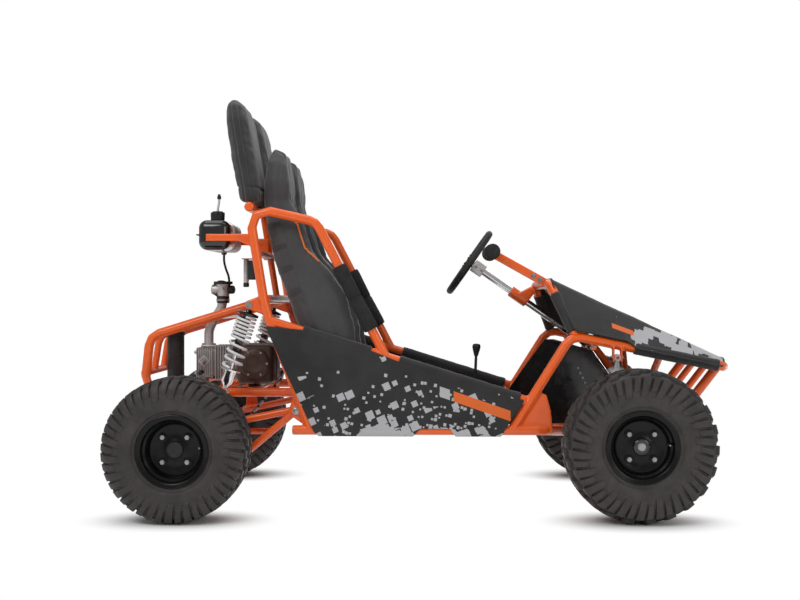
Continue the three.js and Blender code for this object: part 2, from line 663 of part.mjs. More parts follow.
function steeringBracket() {
  const from = wheelCentre.clone().addScaledVector(steerAxis, COLUMN.bracketAt);
  const to = from.clone().addScaledVector(steerAxis, COLUMN.bracketLength);
  const sleeve = bush(from, to, COLUMN.bracketR, running(COLUMN.radius));
  const dash = at(dashTopShare, 0);
  const plates = [-1, 1].map((side) => platePlan([[to.x - COLUMN.bracketLength / 2, to.z + COLUMN.plateRise],
    [to.x, to.z], [dash.x, dash.z - TUBE_R], [dash.x, dash.z + TUBE_R / 2]],
  STEER_Y + side * (COLUMN.bracketR - COLUMN.plate / 2), COLUMN.plate));
  return [sleeve, ...plates];
}

function dashHoop(grow = 0) {
  const foot = (side) => at(dashFootShare, side * FRAME_HALF);
  const top = (side) => at(dashTopShare, side * DASH.halfTop);
  return tube([foot(-1), top(-1), top(1), foot(1)], TUBE_R + grow, DASH.bend);
}

function bumperTubes() {
  const nose = at(noseShare, 0);
  const { outerY, innerY, lowX, lowZ } = BUMPER;
  const parts = [tube([vec(nose.x, -outerY, nose.z), vec(lowX, -outerY, lowZ), vec(lowX, outerY, lowZ),
    vec(nose.x, outerY, nose.z)], TUBE_R)];
  for (const side of [-1, 1]) {
    parts.push(rod(vec(nose.x, side * innerY, nose.z), vec(lowX, side * innerY, lowZ), LIGHT_R));
    parts.push(rod(vec(lowX, side * KEEL_Y, lowZ), vec(BULKHEAD.frontX, side * KEEL_Y, upperTubeZ), LIGHT_R,
      LIGHT_SIDES));
  }
  return parts;
}

function bulkhead() {
  const parts = [];
  const { rearX, frontX } = BULKHEAD;
  for (const side of [-1, 1]) {
    const y = side * KEEL_Y;
    parts.push(rod(vec(rearX, y, upperTubeZ), vec(frontX, y, upperTubeZ), LIGHT_R, LIGHT_SIDES));
    parts.push(rod(at(strutShare, side * FRAME_HALF), vec(frontX, y, upperTubeZ), LIGHT_R, LIGHT_SIDES));
    for (const x of [rearX, frontX]) {
      parts.push(rod(vec(x, y, keelZ + TUBE_R + SEAT_GAP), vec(x, y, upperTubeZ), LIGHT_R, LIGHT_SIDES));
    }
    for (const reach of UPPER_BUSHES) parts.push(...armEars(side, AXLE_X + reach, upperPivotZ, upperTubeZ));
  }
  parts.push(rod(at(dashTopShare, -KEEL_Y), vec(frontX, -KEEL_Y, upperTubeZ), LIGHT_R, LIGHT_SIDES));
  const reach = KEEL_Y - TUBE_R - SEAT_GAP;
  for (const [x, z, half] of [[rearX, upperTubeZ, KEEL_Y], [rearX, keelZ, reach],
    [frontX, keelZ + TUBE_R / 2, KEEL_Y]]) {
    parts.push(rod(vec(x, -half, z), vec(x, half, z), LIGHT_R, LIGHT_SIDES));
  }
  parts.push(rod(vec(rearX, 0, keelZ), vec(rearX, 0, upperTubeZ), LIGHT_R, LIGHT_SIDES));
  return parts;
}

function frameFront() {
  const frame = join(floorTubes(), bulkhead(), bumperTubes(), dashHoop(), steeringBracket());
  const bored = cut(frame, steeringBore(), rackBore());
  return cut(join(bored, rackHousing()), grownSides);
}

function steeringBore() {
  const to = wheelCentre.clone().addScaledVector(steerAxis, COLUMN.joint);
  return rod(wheelCentre, to, running(COLUMN.radius));
}

function rackBore() {
  return rod(vec(rackX, -ARM_IN_Y, lowerPivotZ), vec(rackX, ARM_IN_Y, lowerPivotZ), RACK_R + RUN_GAP);
}

// Seats: U-shaped sections along the shell's back line
// [x of WHEELBASE, z of HEIGHT, half width, cushion depth, bolster depth as shares of the seat's half width]
const SEAT_HALF = 171;
const seatShares = [
  [0.1900, 0.8860, 0.50, 0.22, 0.24],
  [0.1760, 0.8520, 0.72, 0.34, 0.40],
  [0.1690, 0.8000, 0.76, 0.44, 0.48],
  [0.1690, 0.7490, 0.68, 0.42, 0.47],
  [0.1800, 0.6840, 0.90, 0.44, 0.65],
  [0.1990, 0.6040, 0.98, 0.44, 0.72],
  [0.2210, 0.5350, 1.00, 0.44, 0.96],
  [0.2420, 0.4730, 1.00, 0.44, 1.08],
  [0.2660, 0.4070, 1.00, 0.44, 1.02],
  [0.2900, 0.3420, 1.00, 0.46, 0.92],
  [0.3300, 0.2760, 1.00, 0.50, 0.86],
  [0.4000, 0.2330, 1.00, 0.54, 0.84],
  [0.4700, 0.2330, 0.98, 0.56, 0.72],
  [0.5300, 0.2400, 0.92, 0.50, 0.56],
  [0.5520, 0.2560, 0.82, 0.34, 0.34],
];
const BOLSTER_SHARE = 0.24;
const BOLSTER_TOP_SHARE = 0.16;

function seatRing(line, i) {
  const [, , wide, cushion, bolster] = seatShares[i];
  const before = line[Math.max(i - 1, 0)];
  const after = line[Math.min(i + 1, line.length - 1)];
  const along = after.clone().sub(before).normalize();
  const out = vec(-along.z, 0, along.x);
  const half = wide * SEAT_HALF;
  const deep = bolster * SEAT_HALF;
  const soft = cushion * SEAT_HALF;
  const wall = BOLSTER_SHARE * SEAT_HALF;
  const top = Math.min(BOLSTER_TOP_SHARE * SEAT_HALF, deep / 3);
  const profile = [[-half + top, 0], [half - top, 0], [half, top], [half, deep - top], [half - top / 2, deep],
    [half - top * 1.5, deep], [half - wall, soft + (deep - soft) * 0.3], [half - wall * 2, soft],
    [-half + wall * 2, soft], [-half + wall, soft + (deep - soft) * 0.3], [-half + top * 1.5, deep],
    [-half + top / 2, deep], [-half, deep - top], [-half, top]];
  return profile.map(([y, d]) => vec(line[i].x + out.x * d, y, line[i].z + out.z * d));
}

function seat() {
  const line = seatShares.map(([x, z]) => vec(x * WHEELBASE, 0, z * HEIGHT));
  return loft(line.map((_, i) => seatRing(line, i)));
}

// Headrest: a tall padded cover pulled over its hoop
const padShares = [[0, 0.86, 0.80], [0.10, 0.95, 0.94], [0.45, 1.0, 1.06], [0.80, 0.96, 0.98], [0.94, 0.84,
  0.76],
  [1, 0.62, 0.38]];

function headrest(centreY) {
  const foot = at(hoopTopShare, centreY);
  const low = foot.z + TUBE_R + SEAT_GAP;
  const rings = padShares.map(([rise, wide, thick]) => {
    const z = low + rise * (HEIGHT - low);
    const x = foot.x - (z - foot.z) * HEADREST.lean;
    const half = wide * HEADREST.padHalf;
    const deep = thick * HEADREST.thick / 2;
    const round = deep * 0.8;
    return [[-deep, -half + round], [-deep, half - round], [-round / 3, half], [round / 3, half],
      [deep, half - round], [deep, -half + round], [round / 3, -half], [-round / 3, -half]]
      .map(([dx, dy]) => vec(x + dx, centreY + dy, z));
  });
  return cut(loft(rings), headrestHoop(centreY, SEAT_GAP));
}

// Side panel: fabric stretched over the side frame, sleeved round the top rail
const PANEL = { thick: 4, sleeve: 4.5, lap: 2 };
const panelShares = [[0.1800, 0.4460], [0.2200, 0.3500], [0.2890, 0.1950], [0.3000, 0.1848], [0.5113, 0.1842],
  [0.5271, 0.2022], [0.5943, 0.2022], [0.6060, 0.1842], [0.7080, 0.1842], [0.7180, 0.2020], [0.7610, 0.2700],
  [0.6200, 0.3160], [0.4736, 0.3637], [0.4159, 0.3884], [0.2636, 0.4370], [0.2400, 0.4390]];
const sleeveShares = [[[0.2636, 0.4371], [0.4159, 0.3869]], [[0.4800, 0.3656], [0.7500, 0.2740]]];

function sidePanel(side) {
  const outline = panelShares.map(([x, z]) => [x * WHEELBASE, z * HEIGHT]);
  const inFace = FRAME_HALF + TUBE_R + SEAT_GAP;
  const sheet = platePlan(outline, side * (inFace + PANEL.thick / 2), PANEL.thick);
  const top = at(topRailFrontShare, side * FRAME_HALF);
  const foot = at(upFootShare, side * FRAME_HALF);
  const onRail = (share) => mid(foot, top, (share[0] * WHEELBASE - foot.x) / (top.x - foot.x));
  const sleeves = sleeveShares.map(([a, b]) => rod(onRail(a), onRail(b), TUBE_R + PANEL.sleeve));
  const cloth = join(sheet, ...sleeves);
  return cut(cloth, frameTubes(side, SEAT_GAP), [join(pivotLug(side))], seatSpace(side));
}

// Room for the seat beside the panel's sleeve
function seatSpace(side) {
  const inner = SEAT.y + SEAT_HALF + OPEN_GAP;
  const from = inner / 2;
  return block(vec(WHEELBASE / 2, side * from, HEIGHT / 2), WHEELBASE, inner, HEIGHT);
}

// Foam roll on the side bar
const GRIP_R = 24;

function foamGrip(side) {
  const y = side * FRAME_HALF;
  const bend = at(barBendShare, y);
  const foot = at(barFootShare, y);
  const along = (share) => mid(bend, foot, (bend.z - share[1] * HEIGHT) / (bend.z - foot.z));
  return bush(along(gripTopShare), along(gripLowShare), GRIP_R, TUBE_R + SEAT_GAP, 16);
}

// Hood: fabric from the dash hoop to the nose, down to the forward tubes
const HOOD = { wall: 4, rearTop: 262, frontTop: 330, out: 22 };
const hoodShares = [0, 0.5, 1];

function hood() {
  const outer = loft(hoodRings(0));
  const inner = loft(hoodRings(HOOD.wall));
  const sides = SIDES.flatMap(([, side]) => frameTubes(side, SEAT_GAP));
  return cut(outer, inner, sides, dashHoop(SEAT_GAP));
}

function hoodRings(inset) {
  const dash = at(dashTopShare, 0);
  const nose = at(noseShare, 0);
  const skin = TUBE_R + HOOD.wall;
  const over = inset ? OVERRUN : 0;
  return hoodShares.map((share) => {
    const topX = dash.x - over + (nose.x - dash.x + TUBE_R + 2 * over) * share;
    const topZ = dash.z + skin - inset + (nose.z - dash.z) * share;
    const lowX = at(dashFootShare, 0).x - over + (nose.x - at(dashFootShare,
      0).x + TUBE_R + 2 * over) * share;
    const lowZ = forwardTubeZ(lowX) - (inset ? over * 2 : 0);
    const halfTop = HOOD.rearTop + (HOOD.frontTop - HOOD.rearTop) * share - inset;
    const halfLow = FRAME_HALF + HOOD.out - inset;
    const shoulder = HOOD.out;
    return [vec(lowX, -halfLow, lowZ), vec(topX, -halfTop - shoulder, topZ - shoulder), vec(topX, -halfTop,
      topZ),
      vec(topX, halfTop, topZ), vec(topX, halfTop + shoulder, topZ - shoulder), vec(lowX, halfLow, lowZ)];
  });
}

// Footwell tub: a moulded shell, open to the rear, drawn in towards the nose
const TUB = { half: 335, wall: 4, taper: 0.54, taperShare: 0.7893 };
const tubShares = [[0.5800, 0.2097], [0.9440, 0.2097], [0.9600, 0.2330], [0.9570, 0.3300], [0.9250, 0.3840],
  [0.8750, 0.4000], [0.8520, 0.3990], [0.7520, 0.2450], [0.5800, 0.2330]];
const tubInnerShares = [[0.5700, 0.2139], [0.9420, 0.2139], [0.9572, 0.2345], [0.9542, 0.3285], [0.9232,
  0.3810],
  [0.8750, 0.3968], [0.8300, 0.4100], [0.7000, 0.4100], [0.5700, 0.4100]];

const tubFloor = tubShares[0][1] * HEIGHT;

function tubShell(shares, half) {
  const outline = shares.map(([x, z]) => [x * WHEELBASE, z * HEIGHT]);
  const rear = WHEELBASE / 2;
  const straight = TUB.taperShare * WHEELBASE;
  const front = WHEELBASE;
  const frontHalf = half - (front - straight) * TUB.taper;
  const plan = [[rear, -half], [straight, -half], [front, -frontHalf], [front, frontHalf], [straight, half],
    [rear, half]];
  return platePlan(outline, 0, 2 * half).intersect(plateFlat(plan, 0, HEIGHT));
}

function footwellTub() {
  const slot = block(vec(SHIFTER.x, SHIFTER.y, tubFloor), SHIFTER.standWidth + 2 * OPEN_GAP,
    2 * SHIFTER.standHalf + PLATE + 2 * OPEN_GAP, TUB.wall * 4);
  const shell = cut(tubShell(tubShares, TUB.half), tubShell(tubInnerShares, TUB.half - TUB.wall), slot);
  const ears = PEDALS.flatMap(({ y }) => [-1, 1].map((edge) => platePlan([
    [PEDAL.x - PEDAL.ear, tubFloor + TUB.wall / 2], [PEDAL.x + PEDAL.ear, tubFloor + TUB.wall / 2],
    [PEDAL.x + BOLT_HEAD_R, PEDAL.z + BOLT_HEAD_R], [PEDAL.x - BOLT_HEAD_R, PEDAL.z + BOLT_HEAD_R]],
  y + edge * (PEDAL.half + RUN_GAP + PLATE / 2), PLATE)));
  const pinReach = PEDAL.half + RUN_GAP + PLATE / 2;
  const pins = PEDALS.map(({ y }) => rod(vec(PEDAL.x, y - pinReach, PEDAL.z), vec(PEDAL.x, y + pinReach,
    PEDAL.z),
    BOLT_R, BOLT_SIDES));
  return join(shell, ears, pins);
}

const PEDAL = { x: 1290, z: 318, half: 9, ear: 22, armR: 6, height: 118, lean: 30, padWide: 62, padTall: 74,
  pad: 7 };
const PEDAL_SPACING = 80;
const BRAKE_OUT = 15;
const PEDALS = [{ name: 'brake_pedal', y: STEER_Y + BRAKE_OUT },
  { name: 'throttle_pedal', y: STEER_Y + BRAKE_OUT - PEDAL_SPACING }];

function pedal({ y }) {
  const pivot = vec(PEDAL.x, y, PEDAL.z);
  const top = vec(PEDAL.x - PEDAL.lean, y, PEDAL.z + PEDAL.height);
  const boss = rod(vec(pivot.x, y - PEDAL.half, pivot.z), vec(pivot.x, y + PEDAL.half, pivot.z), BUSH_R);
  const bore = rod(vec(pivot.x, y - BUSH_R, pivot.z), vec(pivot.x, y + BUSH_R, pivot.z), BOLT_R + BORE_GAP,
    BOLT_SIDES);
  const arm = rod(pivot, top, PEDAL.armR, LIGHT_SIDES);
  const pad = block(top, PEDAL.pad, PEDAL.padWide, PEDAL.padTall);
  return cut(join(boss, arm, pad), bore);
}

// Shift lever with its knob
const KNOB = { radius: 15, height: 44, neck: 8 };

function shiftLever() {
  const pivot = vec(SHIFTER.x, SHIFTER.y, SHIFTER.pivotZ);
  const top = vec(SHIFTER.knobX, SHIFTER.y, SHIFTER.knobZ);
  const axis = top.clone().sub(pivot);
  const stem = top.clone().addScaledVector(axis.clone().normalize(), -KNOB.height);
  const half = SHIFTER.standHalf - PLATE / 2 - RUN_GAP;
  const hole = rod(vec(pivot.x, pivot.y - BUSH_R * 2, pivot.z), vec(pivot.x, pivot.y + BUSH_R * 2, pivot.z),
    BOLT_R + BORE_GAP, BOLT_SIDES);
  const boss = rod(vec(pivot.x, pivot.y - half, pivot.z), vec(pivot.x, pivot.y + half, pivot.z), BUSH_R);
  const knob = revolve([[0, 0], [KNOB.neck, 0], [KNOB.radius, KNOB.height * 0.6], [KNOB.radius * 0.95,
    KNOB.height * 0.85], [KNOB.neck, KNOB.height], [0, KNOB.height]], AXLE_SIDES, stem, axis);
  return cut(join(boss, rod(pivot, stem.clone().addScaledVector(axis.clone().normalize(), OVERRUN),
    KNOB.neck / 1.6, TUBE_SIDES), knob), hole);
}

// Passenger's grab bar with its foam roll
const GRAB = { y: -190, half: 105, foamR: 26, barHalf: 14, barThick: 9, topShare: [0.6932, 0.6255] };

function grabBar() {
  const top = at(GRAB.topShare, GRAB.y);
  const dash = at(dashTopShare, GRAB.y);
  const away = top.clone().sub(dash).normalize();
  const foot = dash.clone().addScaledVector(away, TUBE_R / 2);
  const rise = vec(-away.z, 0, away.x).multiplyScalar(GRAB.barHalf);
  const rings = [foot, top].map((p) => [[-1, -1], [1, -1], [1, 1], [-1, 1]].map(([a, b]) =>
    p.clone().addScaledVector(rise, a).add(vec(0, b * GRAB.barThick, 0))));
  const roll = rod(vec(top.x, top.y - GRAB.half, top.z), vec(top.x, top.y + GRAB.half, top.z), GRAB.foamR,
    16);
  return join(cut(loft(rings), dashHoop(SEAT_GAP)), roll);
}

// Fuel tank, its cap and breather
const TANK = { x: 84, z: 914, half: 52, halfZ: 50, from: -338, to: -30, seam: 6, seamThick: 4, round: 26,
  neckR: 20, neckY: -250, neckRise: 12, capR: 24, capRise: 22, hoseR: 4, hoseRise: 62, valveR: 7, valve: 18 };

function fuelTank() {
  const { x, z, half, halfZ, round, from, to } = TANK;
  const corner = round * 0.3;
  const outline = [[x - half + round, z + halfZ], [x - half + corner, z + halfZ - corner], [x - half,
    z + halfZ - round],
    [x - half, z - halfZ + round], [x - half + corner, z - halfZ + corner], [x - half + round, z - halfZ],
    [x + half - round, z - halfZ], [x + half - corner, z - halfZ + corner], [x + half, z - halfZ + round],
    [x + half, z + halfZ - round], [x + half - corner, z + halfZ - corner], [x + half - round, z + halfZ]];
  const body = platePlan(outline, (from + to) / 2, to - from);
  const flange = block(vec(x, (from + to) / 2, z), 2 * (half + TANK.seam), to - from, TANK.seamThick);
  const neck = rod(vec(x, TANK.neckY, z), vec(x, TANK.neckY, z + halfZ + TANK.neckRise), TANK.neckR,
    AXLE_SIDES);
  return cut(join(body, flange, neck), rod(vec(x, TANK.neckY, z + halfZ), vec(x, TANK.neckY,
    z + halfZ + TANK.neckRise + OVERRUN), TANK.neckR - RIM_WALL));
}

function fuelCap() {
  const top = vec(TANK.x, TANK.neckY, TANK.z + TANK.halfZ + TANK.neckRise);
  const rim = SEAT_GAP;
  const skirt = TANK.neckRise * 0.7;
  const inner = running(TANK.neckR, AXLE_SIDES, SEAT_GAP);
  const cap = revolve([[0, rim], [inner, rim], [inner, -skirt], [TANK.capR, -skirt],
    [TANK.capR, TANK.capRise - BOLT_R], [TANK.capR - BOLT_R, TANK.capRise], [0, TANK.capRise]], AXLE_SIDES,
      top, up);
  const hoseTop = top.clone().add(vec(BOLT_R, 0, TANK.hoseRise));
  const hose = rod(top.clone().add(vec(0, 0, TANK.capRise - OVERRUN)), hoseTop, TANK.hoseR, TUBE_SIDES);
  const valve = rod(hoseTop.clone().add(vec(0, 0, -OVERRUN)), hoseTop.clone().add(vec(0, 0, TANK.valve)),
    TANK.valveR,
    TUBE_SIDES);
  return join(cap, hose, valve);
}

// Engine: rounded crankcase, finned barrel lying rearward, head with a plain round cover
const ENGINE = { caseX: 195, caseZ: 478, caseHalf: 64, caseHalfZ: 72, caseY: 112, coverR: 50, cover: 16,
  barrelTo: 8, barrelHalf: 46, fin: 3.5, finPitch: 9, finHalf: 62, headFrom: 40, headTo: -22, headHalf: 52,
  headY: 60, bossR: 30, boss: 14, sprocketR: 26, portR: 15 };
const ENGINE_Y = -30;

function engine() {
  const e = ENGINE;
  const base = CRADLE.z + LIGHT_R + SEAT_GAP;
  const centreZ = base + e.caseHalfZ + e.fin * 2;
  const corner = e.caseHalf / 3;
  const outline = [[-e.caseHalf, -e.caseHalfZ + corner], [-e.caseHalf + corner, -e.caseHalfZ],
    [e.caseHalf - corner, -e.caseHalfZ], [e.caseHalf, -e.caseHalfZ + corner], [e.caseHalf,
      e.caseHalfZ - corner * 2],
    [e.caseHalf - corner * 2, e.caseHalfZ], [-e.caseHalf + corner, e.caseHalfZ], [-e.caseHalf,
      e.caseHalfZ - corner]]
    .map(([x, z]) => [e.caseX + x, centreZ + z]);
  const crankcase = platePlan(outline, ENGINE_Y, 2 * e.caseY);
  const parts = [crankcase];
  for (const side of [-1, 1]) {
    const from = vec(e.caseX, ENGINE_Y + side * (e.caseY - OVERRUN), centreZ);
    const to = vec(e.caseX, ENGINE_Y + side * (e.caseY + e.cover), centreZ);
    if (side < 0) parts.push(rod(from, to, e.coverR, 16));
  }
  const y = ENGINE_Y;
  parts.push(block(vec((e.caseX + e.headTo) / 2, y, centreZ), e.caseX - e.headTo, 2 * e.barrelHalf,
    2 * e.barrelHalf));
  for (let x = e.headFrom + e.finPitch; x < e.caseX - e.caseHalf - e.fin; x += e.finPitch) {
    parts.push(block(vec(x, y, centreZ), e.fin, 2 * e.finHalf, 2 * e.finHalf));
  }
  parts.push(block(vec((e.headFrom + e.headTo) / 2, y, centreZ), e.headFrom - e.headTo, 2 * e.headY,
    2 * e.headHalf));
  const driveEnd = SPROCKET_Y + SPROCKET_WIDTH;
  parts.push(rod(vec(DRIVE.x, y + e.caseY - OVERRUN, DRIVE.z), vec(DRIVE.x, driveEnd, DRIVE.z),
    DRIVE.shaftR));
  parts.push(rod(vec(DRIVE.x, SPROCKET_Y - SPROCKET_WIDTH / 2, DRIVE.z),
    vec(DRIVE.x, SPROCKET_Y + SPROCKET_WIDTH / 2, DRIVE.z), DRIVE.drumR, AXLE_SIDES));
  const bossX = (e.headFrom + e.headTo) / 2;
  parts.push(rod(vec(bossX, y - e.headY + OVERRUN, centreZ), vec(bossX, y - e.headY - e.boss, centreZ),
    e.bossR, 16));
  for (const x of ENGINE_CROSS) {
    const footX = Math.max(x, e.headTo + e.finHalf / 2);
    if (x > e.headTo) parts.push(block(vec(footX, y, (base + centreZ) / 2), BUSH_LENGTH, e.caseY,
      centreZ - base));
  }
  return join(parts);
}

// Carburettor on its curved intake, with the bell mouth and the fuel line up to the tank
const CARB = { portX: 15, portUp: 62, x: 66, z: 735, pipeR: 16, bodyR: 22, body: 56, bellR: 31, bell: 20,
  bowlR: 19,
  bowl: 44, lineR: 4, lineY: -120 };

function carburettor() {
  const c = CARB;
  const headTop = CRADLE.z + LIGHT_R + SEAT_GAP + ENGINE.caseHalfZ + ENGINE.fin * 2 + ENGINE.headHalf;
  const foot = vec(c.portX, ENGINE_Y, headTop + SEAT_GAP);
  const centre = vec(c.x, ENGINE_Y, c.z);
  const pipe = tube([foot, foot.clone().add(vec(0, 0, c.portUp)), centre.clone().add(vec(0, 0, -c.body / 2))],
    c.pipeR, c.pipeR * 2);
  const flange = rod(foot, foot.clone().add(vec(0, 0, PLATE * 2)), c.pipeR + BOLT_HEAD_R);
  const from = centre.clone().add(vec(0, 0, -c.body / 2));
  const body = revolve([[0, 0], [c.bodyR, 0], [c.bodyR, c.body - c.bell], [c.bellR, c.body],
    [c.bellR - RIM_WALL, c.body],
    [c.bodyR - RIM_WALL, c.body - c.bell], [0, c.body - c.bell]], AXLE_SIDES, from, up);
  const bowl = rod(centre, centre.clone().add(vec(-c.bowl, 0, 0)), c.bowlR);
  const slide = rod(centre, centre.clone().add(vec(c.bowl, 0, 0)), c.bowlR * 0.8);
  const under = vec(TANK.x, c.lineY, TANK.z - TANK.halfZ - SEAT_GAP);
  const line = tube([centre.clone().add(vec(c.bowl / 2, 0, c.bowlR / 2)),
    vec(c.x + c.bowl * 0.6, ENGINE_Y - c.bowl, (c.z + under.z) / 2 - c.bowl / 2),
    vec(under.x, under.y, under.z - c.bowl), under], c.lineR, c.bowl, LIGHT_SIDES);
  return join(pipe, flange, body, bowl, slide, line);
}

// Muffler: upright canister with a clamp ring, and the pipe from under the head
const MUFFLER = { x: -104, y: -27, low: 405, top: 592, radius: 30, band: 3, bandAt: 0.9, bandWide: 12,
  pipeR: 13,
  drop: 40 };

function muffler() {
  const m = MUFFLER;
  const base = CRADLE.z + LIGHT_R + SEAT_GAP + ENGINE.fin * 2 + ENGINE.caseHalfZ - ENGINE.headHalf;
  const port = vec(ENGINE.headTo + ENGINE.portR * 1.6, ENGINE_Y, base - SEAT_GAP);
  const height = m.top - m.low;
  const can = revolve([[0, 0], [m.radius * 0.8, 0], [m.radius, m.band * 3], [m.radius, height * m.bandAt],
    [m.radius + m.band, height * m.bandAt], [m.radius + m.band, height * m.bandAt + m.bandWide],
    [m.radius * 0.9, height * m.bandAt + m.bandWide], [m.radius * 0.8, height], [0, height]], AXLE_SIDES,
  vec(m.x, m.y, m.low), up);
  const pipe = tube([port, port.clone().add(vec(0, 0, -m.pipeR * 1.5)), vec(m.x, m.y, m.low + m.pipeR * 1.4)],
    m.pipeR, m.pipeR * 1.2);
  return join(can, pipe);
}

// Steering wheel and column, the lower shaft and the rack
const STEER_WHEEL = { radius: 128, gripR: 12.5, hubR: 34, hub: 26, spokes: 3, spokeWide: 26, spokeThick: 5,
  block: 46, blockAt: 40, steps: 20, gripSides: 6 };

function steeringWheel() {
  const w = STEER_WHEEL;
  const rim = [];
  for (let i = 0; i < w.steps; i += 1) {
    const turn = i * 2 * Math.PI / w.steps;
    const ring = [];
    for (let j = 0; j < w.gripSides; j += 1) {
      const roll = j * 2 * Math.PI / w.gripSides;
      const r = w.radius + w.gripR * Math.cos(roll);
      ring.push(vec(r * Math.cos(turn), r * Math.sin(turn), w.gripR * Math.sin(roll)));
    }
    rim.push(ring);
  }
  const parts = [loft(rim, true), rod(vec(0, 0, -w.hub / 2), vec(0, 0, w.hub / 2), w.hubR, 16)];
  for (let i = 0; i < w.spokes; i += 1) {
    const spoke = new THREE.BoxGeometry(w.radius, w.spokeWide, w.spokeThick);
    spoke.translate(w.radius / 2, 0, 0);
    spoke.rotateZ(Math.PI / 2 + i * 2 * Math.PI / w.spokes);
    parts.push(solid(spoke));
  }
  return join(parts);
}

function steeringColumn() {
  const w = STEER_WHEEL;
  const ahead = (distance) => wheelCentre.clone().addScaledVector(steerAxis, distance);
  const clampAt = ahead(w.blockAt);
  const clamp = new THREE.BoxGeometry(w.block, w.block, w.block);
  clamp.rotateY(STEER_TILT);
  clamp.translate(clampAt.x, clampAt.y, clampAt.z);
  const end = COLUMN.joint - COLUMN.ballR - SEAT_GAP;
  return join(rod(ahead(w.hub / 2 + SEAT_GAP), ahead(end - OVERRUN), COLUMN.radius), solid(clamp),
    rod(ahead(end - COLUMN.yoke), ahead(end), COLUMN.yokeR));
}

function lowerShaft() {
  const from = jointCentre;
  const to = pinionPoint.clone().addScaledVector(shaftAxis, -SEAT_GAP);
  const r = COLUMN.ballR;
  const ball = [];
  for (let k = 0; k <= 4; k += 1) {
    const turn = Math.PI * k / 4;
    ball.push([r * Math.sin(turn), -r * Math.cos(turn)]);
  }
  return join(revolve(ball, ROD_SIDES, from, shaftAxis), rod(from, to, COLUMN.shaftR));
}

const rackEnd = ARM_IN_Y - BALL_R - OPEN_GAP;

function steeringRack() {
  return rod(vec(rackX, -rackEnd, lowerPivotZ), vec(rackX, rackEnd, lowerPivotZ), RACK_R);
}

// Tie rod: inner ball at the rack's end, outer eye under the steering arm
const TIE = { eyeR: 12, eyeHalf: 7 };

function tieRod(side) {
  const inner = vec(rackX, side * ARM_IN_Y, lowerPivotZ);
  const outer = vec(rackX, side * ARM_OUT_Y, lowerPivotZ - ARM_RISE);
  const profile = [];
  for (let k = 0; k <= 4; k += 1) {
    const turn = Math.PI * k / 4;
    profile.push([BALL_R * Math.sin(turn), -BALL_R * Math.cos(turn)]);
  }
  return join(revolve(profile, ROD_SIDES, inner, vec(0, side, 0)), rod(inner, outer, TIE_R, LIGHT_SIDES),
    rod(outer.clone().add(vec(0, 0, -TIE.eyeHalf)), outer.clone().add(vec(0, 0, TIE.eyeHalf)), TIE.eyeR));
}

// Double wishbones: an A of two tubes with inner bushes and one outer bush
const SHOCK_MOUNT = { ear: 10 };
const lowerOutZ = lowerPivotZ - ARM_RISE;
const upperOutZ = upperPivotZ - ARM_RISE;

function wishbone(side, bushes, pivotZ, outZ) {
  const outer = vec(AXLE_X, side * ARM_OUT_Y, outZ);
  const half = (length) => vec(length / 2, 0, 0);
  const over = vec(OVERRUN, 0, 0);
  const barrel = (centre, length) => rod(centre.clone().sub(half(length)), centre.clone().add(half(length)),
    BUSH_R);
  const bore = (centre, length) => rod(centre.clone().sub(half(length)).sub(over),
    centre.clone().add(half(length)).add(over), BOLT_R + BORE_GAP, BOLT_SIDES);
  const barrels = [barrel(outer, OUT_BUSH)];
  const legs = [];
  const bores = [bore(outer, OUT_BUSH)];
  bushes.forEach((reach, i) => {
    const inner = vec(AXLE_X + reach, side * ARM_IN_Y, pivotZ);
    barrels.push(barrel(inner, BUSH_LENGTH));
    bores.push(bore(inner, BUSH_LENGTH));
    const foot = outer.clone().add(vec(LEG_SPREAD * (i ? 1 : -1), 0, 0));
    legs.push(rod(inner, foot, LEG_R, LIGHT_SIDES));
  });
  return cut(join(legs, barrels), bores);
}

function lowerArm(side) {
  const low = at(frontShockLowShare, side * LOWER_MOUNT_Y);
  const arm = wishbone(side, LOWER_BUSHES, lowerPivotZ, lowerOutZ);
  const legZ = lowerPivotZ - ARM_RISE * (LOWER_MOUNT_Y - ARM_IN_Y) / (ARM_OUT_Y - ARM_IN_Y);
  const gap = FRONT_SHOCK.eyeHalf + RUN_GAP;
  const parts = [-1, 1].map((end) => {
    const e = SHOCK_MOUNT.ear;
    return plateAcross([[low.y - e, legZ], [low.y + e, legZ], [low.y + e, low.z + e * 0.6], [low.y,
      low.z + e],
      [low.y - e, low.z + e * 0.6]], low.x + end * (gap + PLATE / 2), PLATE);
  });
  const base = block(vec(low.x + LEG_R, low.y, legZ - LEG_R / 4), 2 * (gap + PLATE + LEG_R),
    2 * SHOCK_MOUNT.ear,
    LEG_R * 1.2);
  const pin = rod(vec(low.x - gap - PLATE / 2, low.y, low.z), vec(low.x + gap + PLATE / 2, low.y, low.z),
    BOLT_R,
    BOLT_SIDES);
  return join(arm, parts, base, pin);
}

const upperArm = (side) => wishbone(side, UPPER_BUSHES, upperPivotZ, upperOutZ);

// Upright: the kingpin carrier between the outer bushes
const UPRIGHT = { back: 384, plate: 4.5, lug: 10, earUp: 13, lugR: 14, waist: 16 };

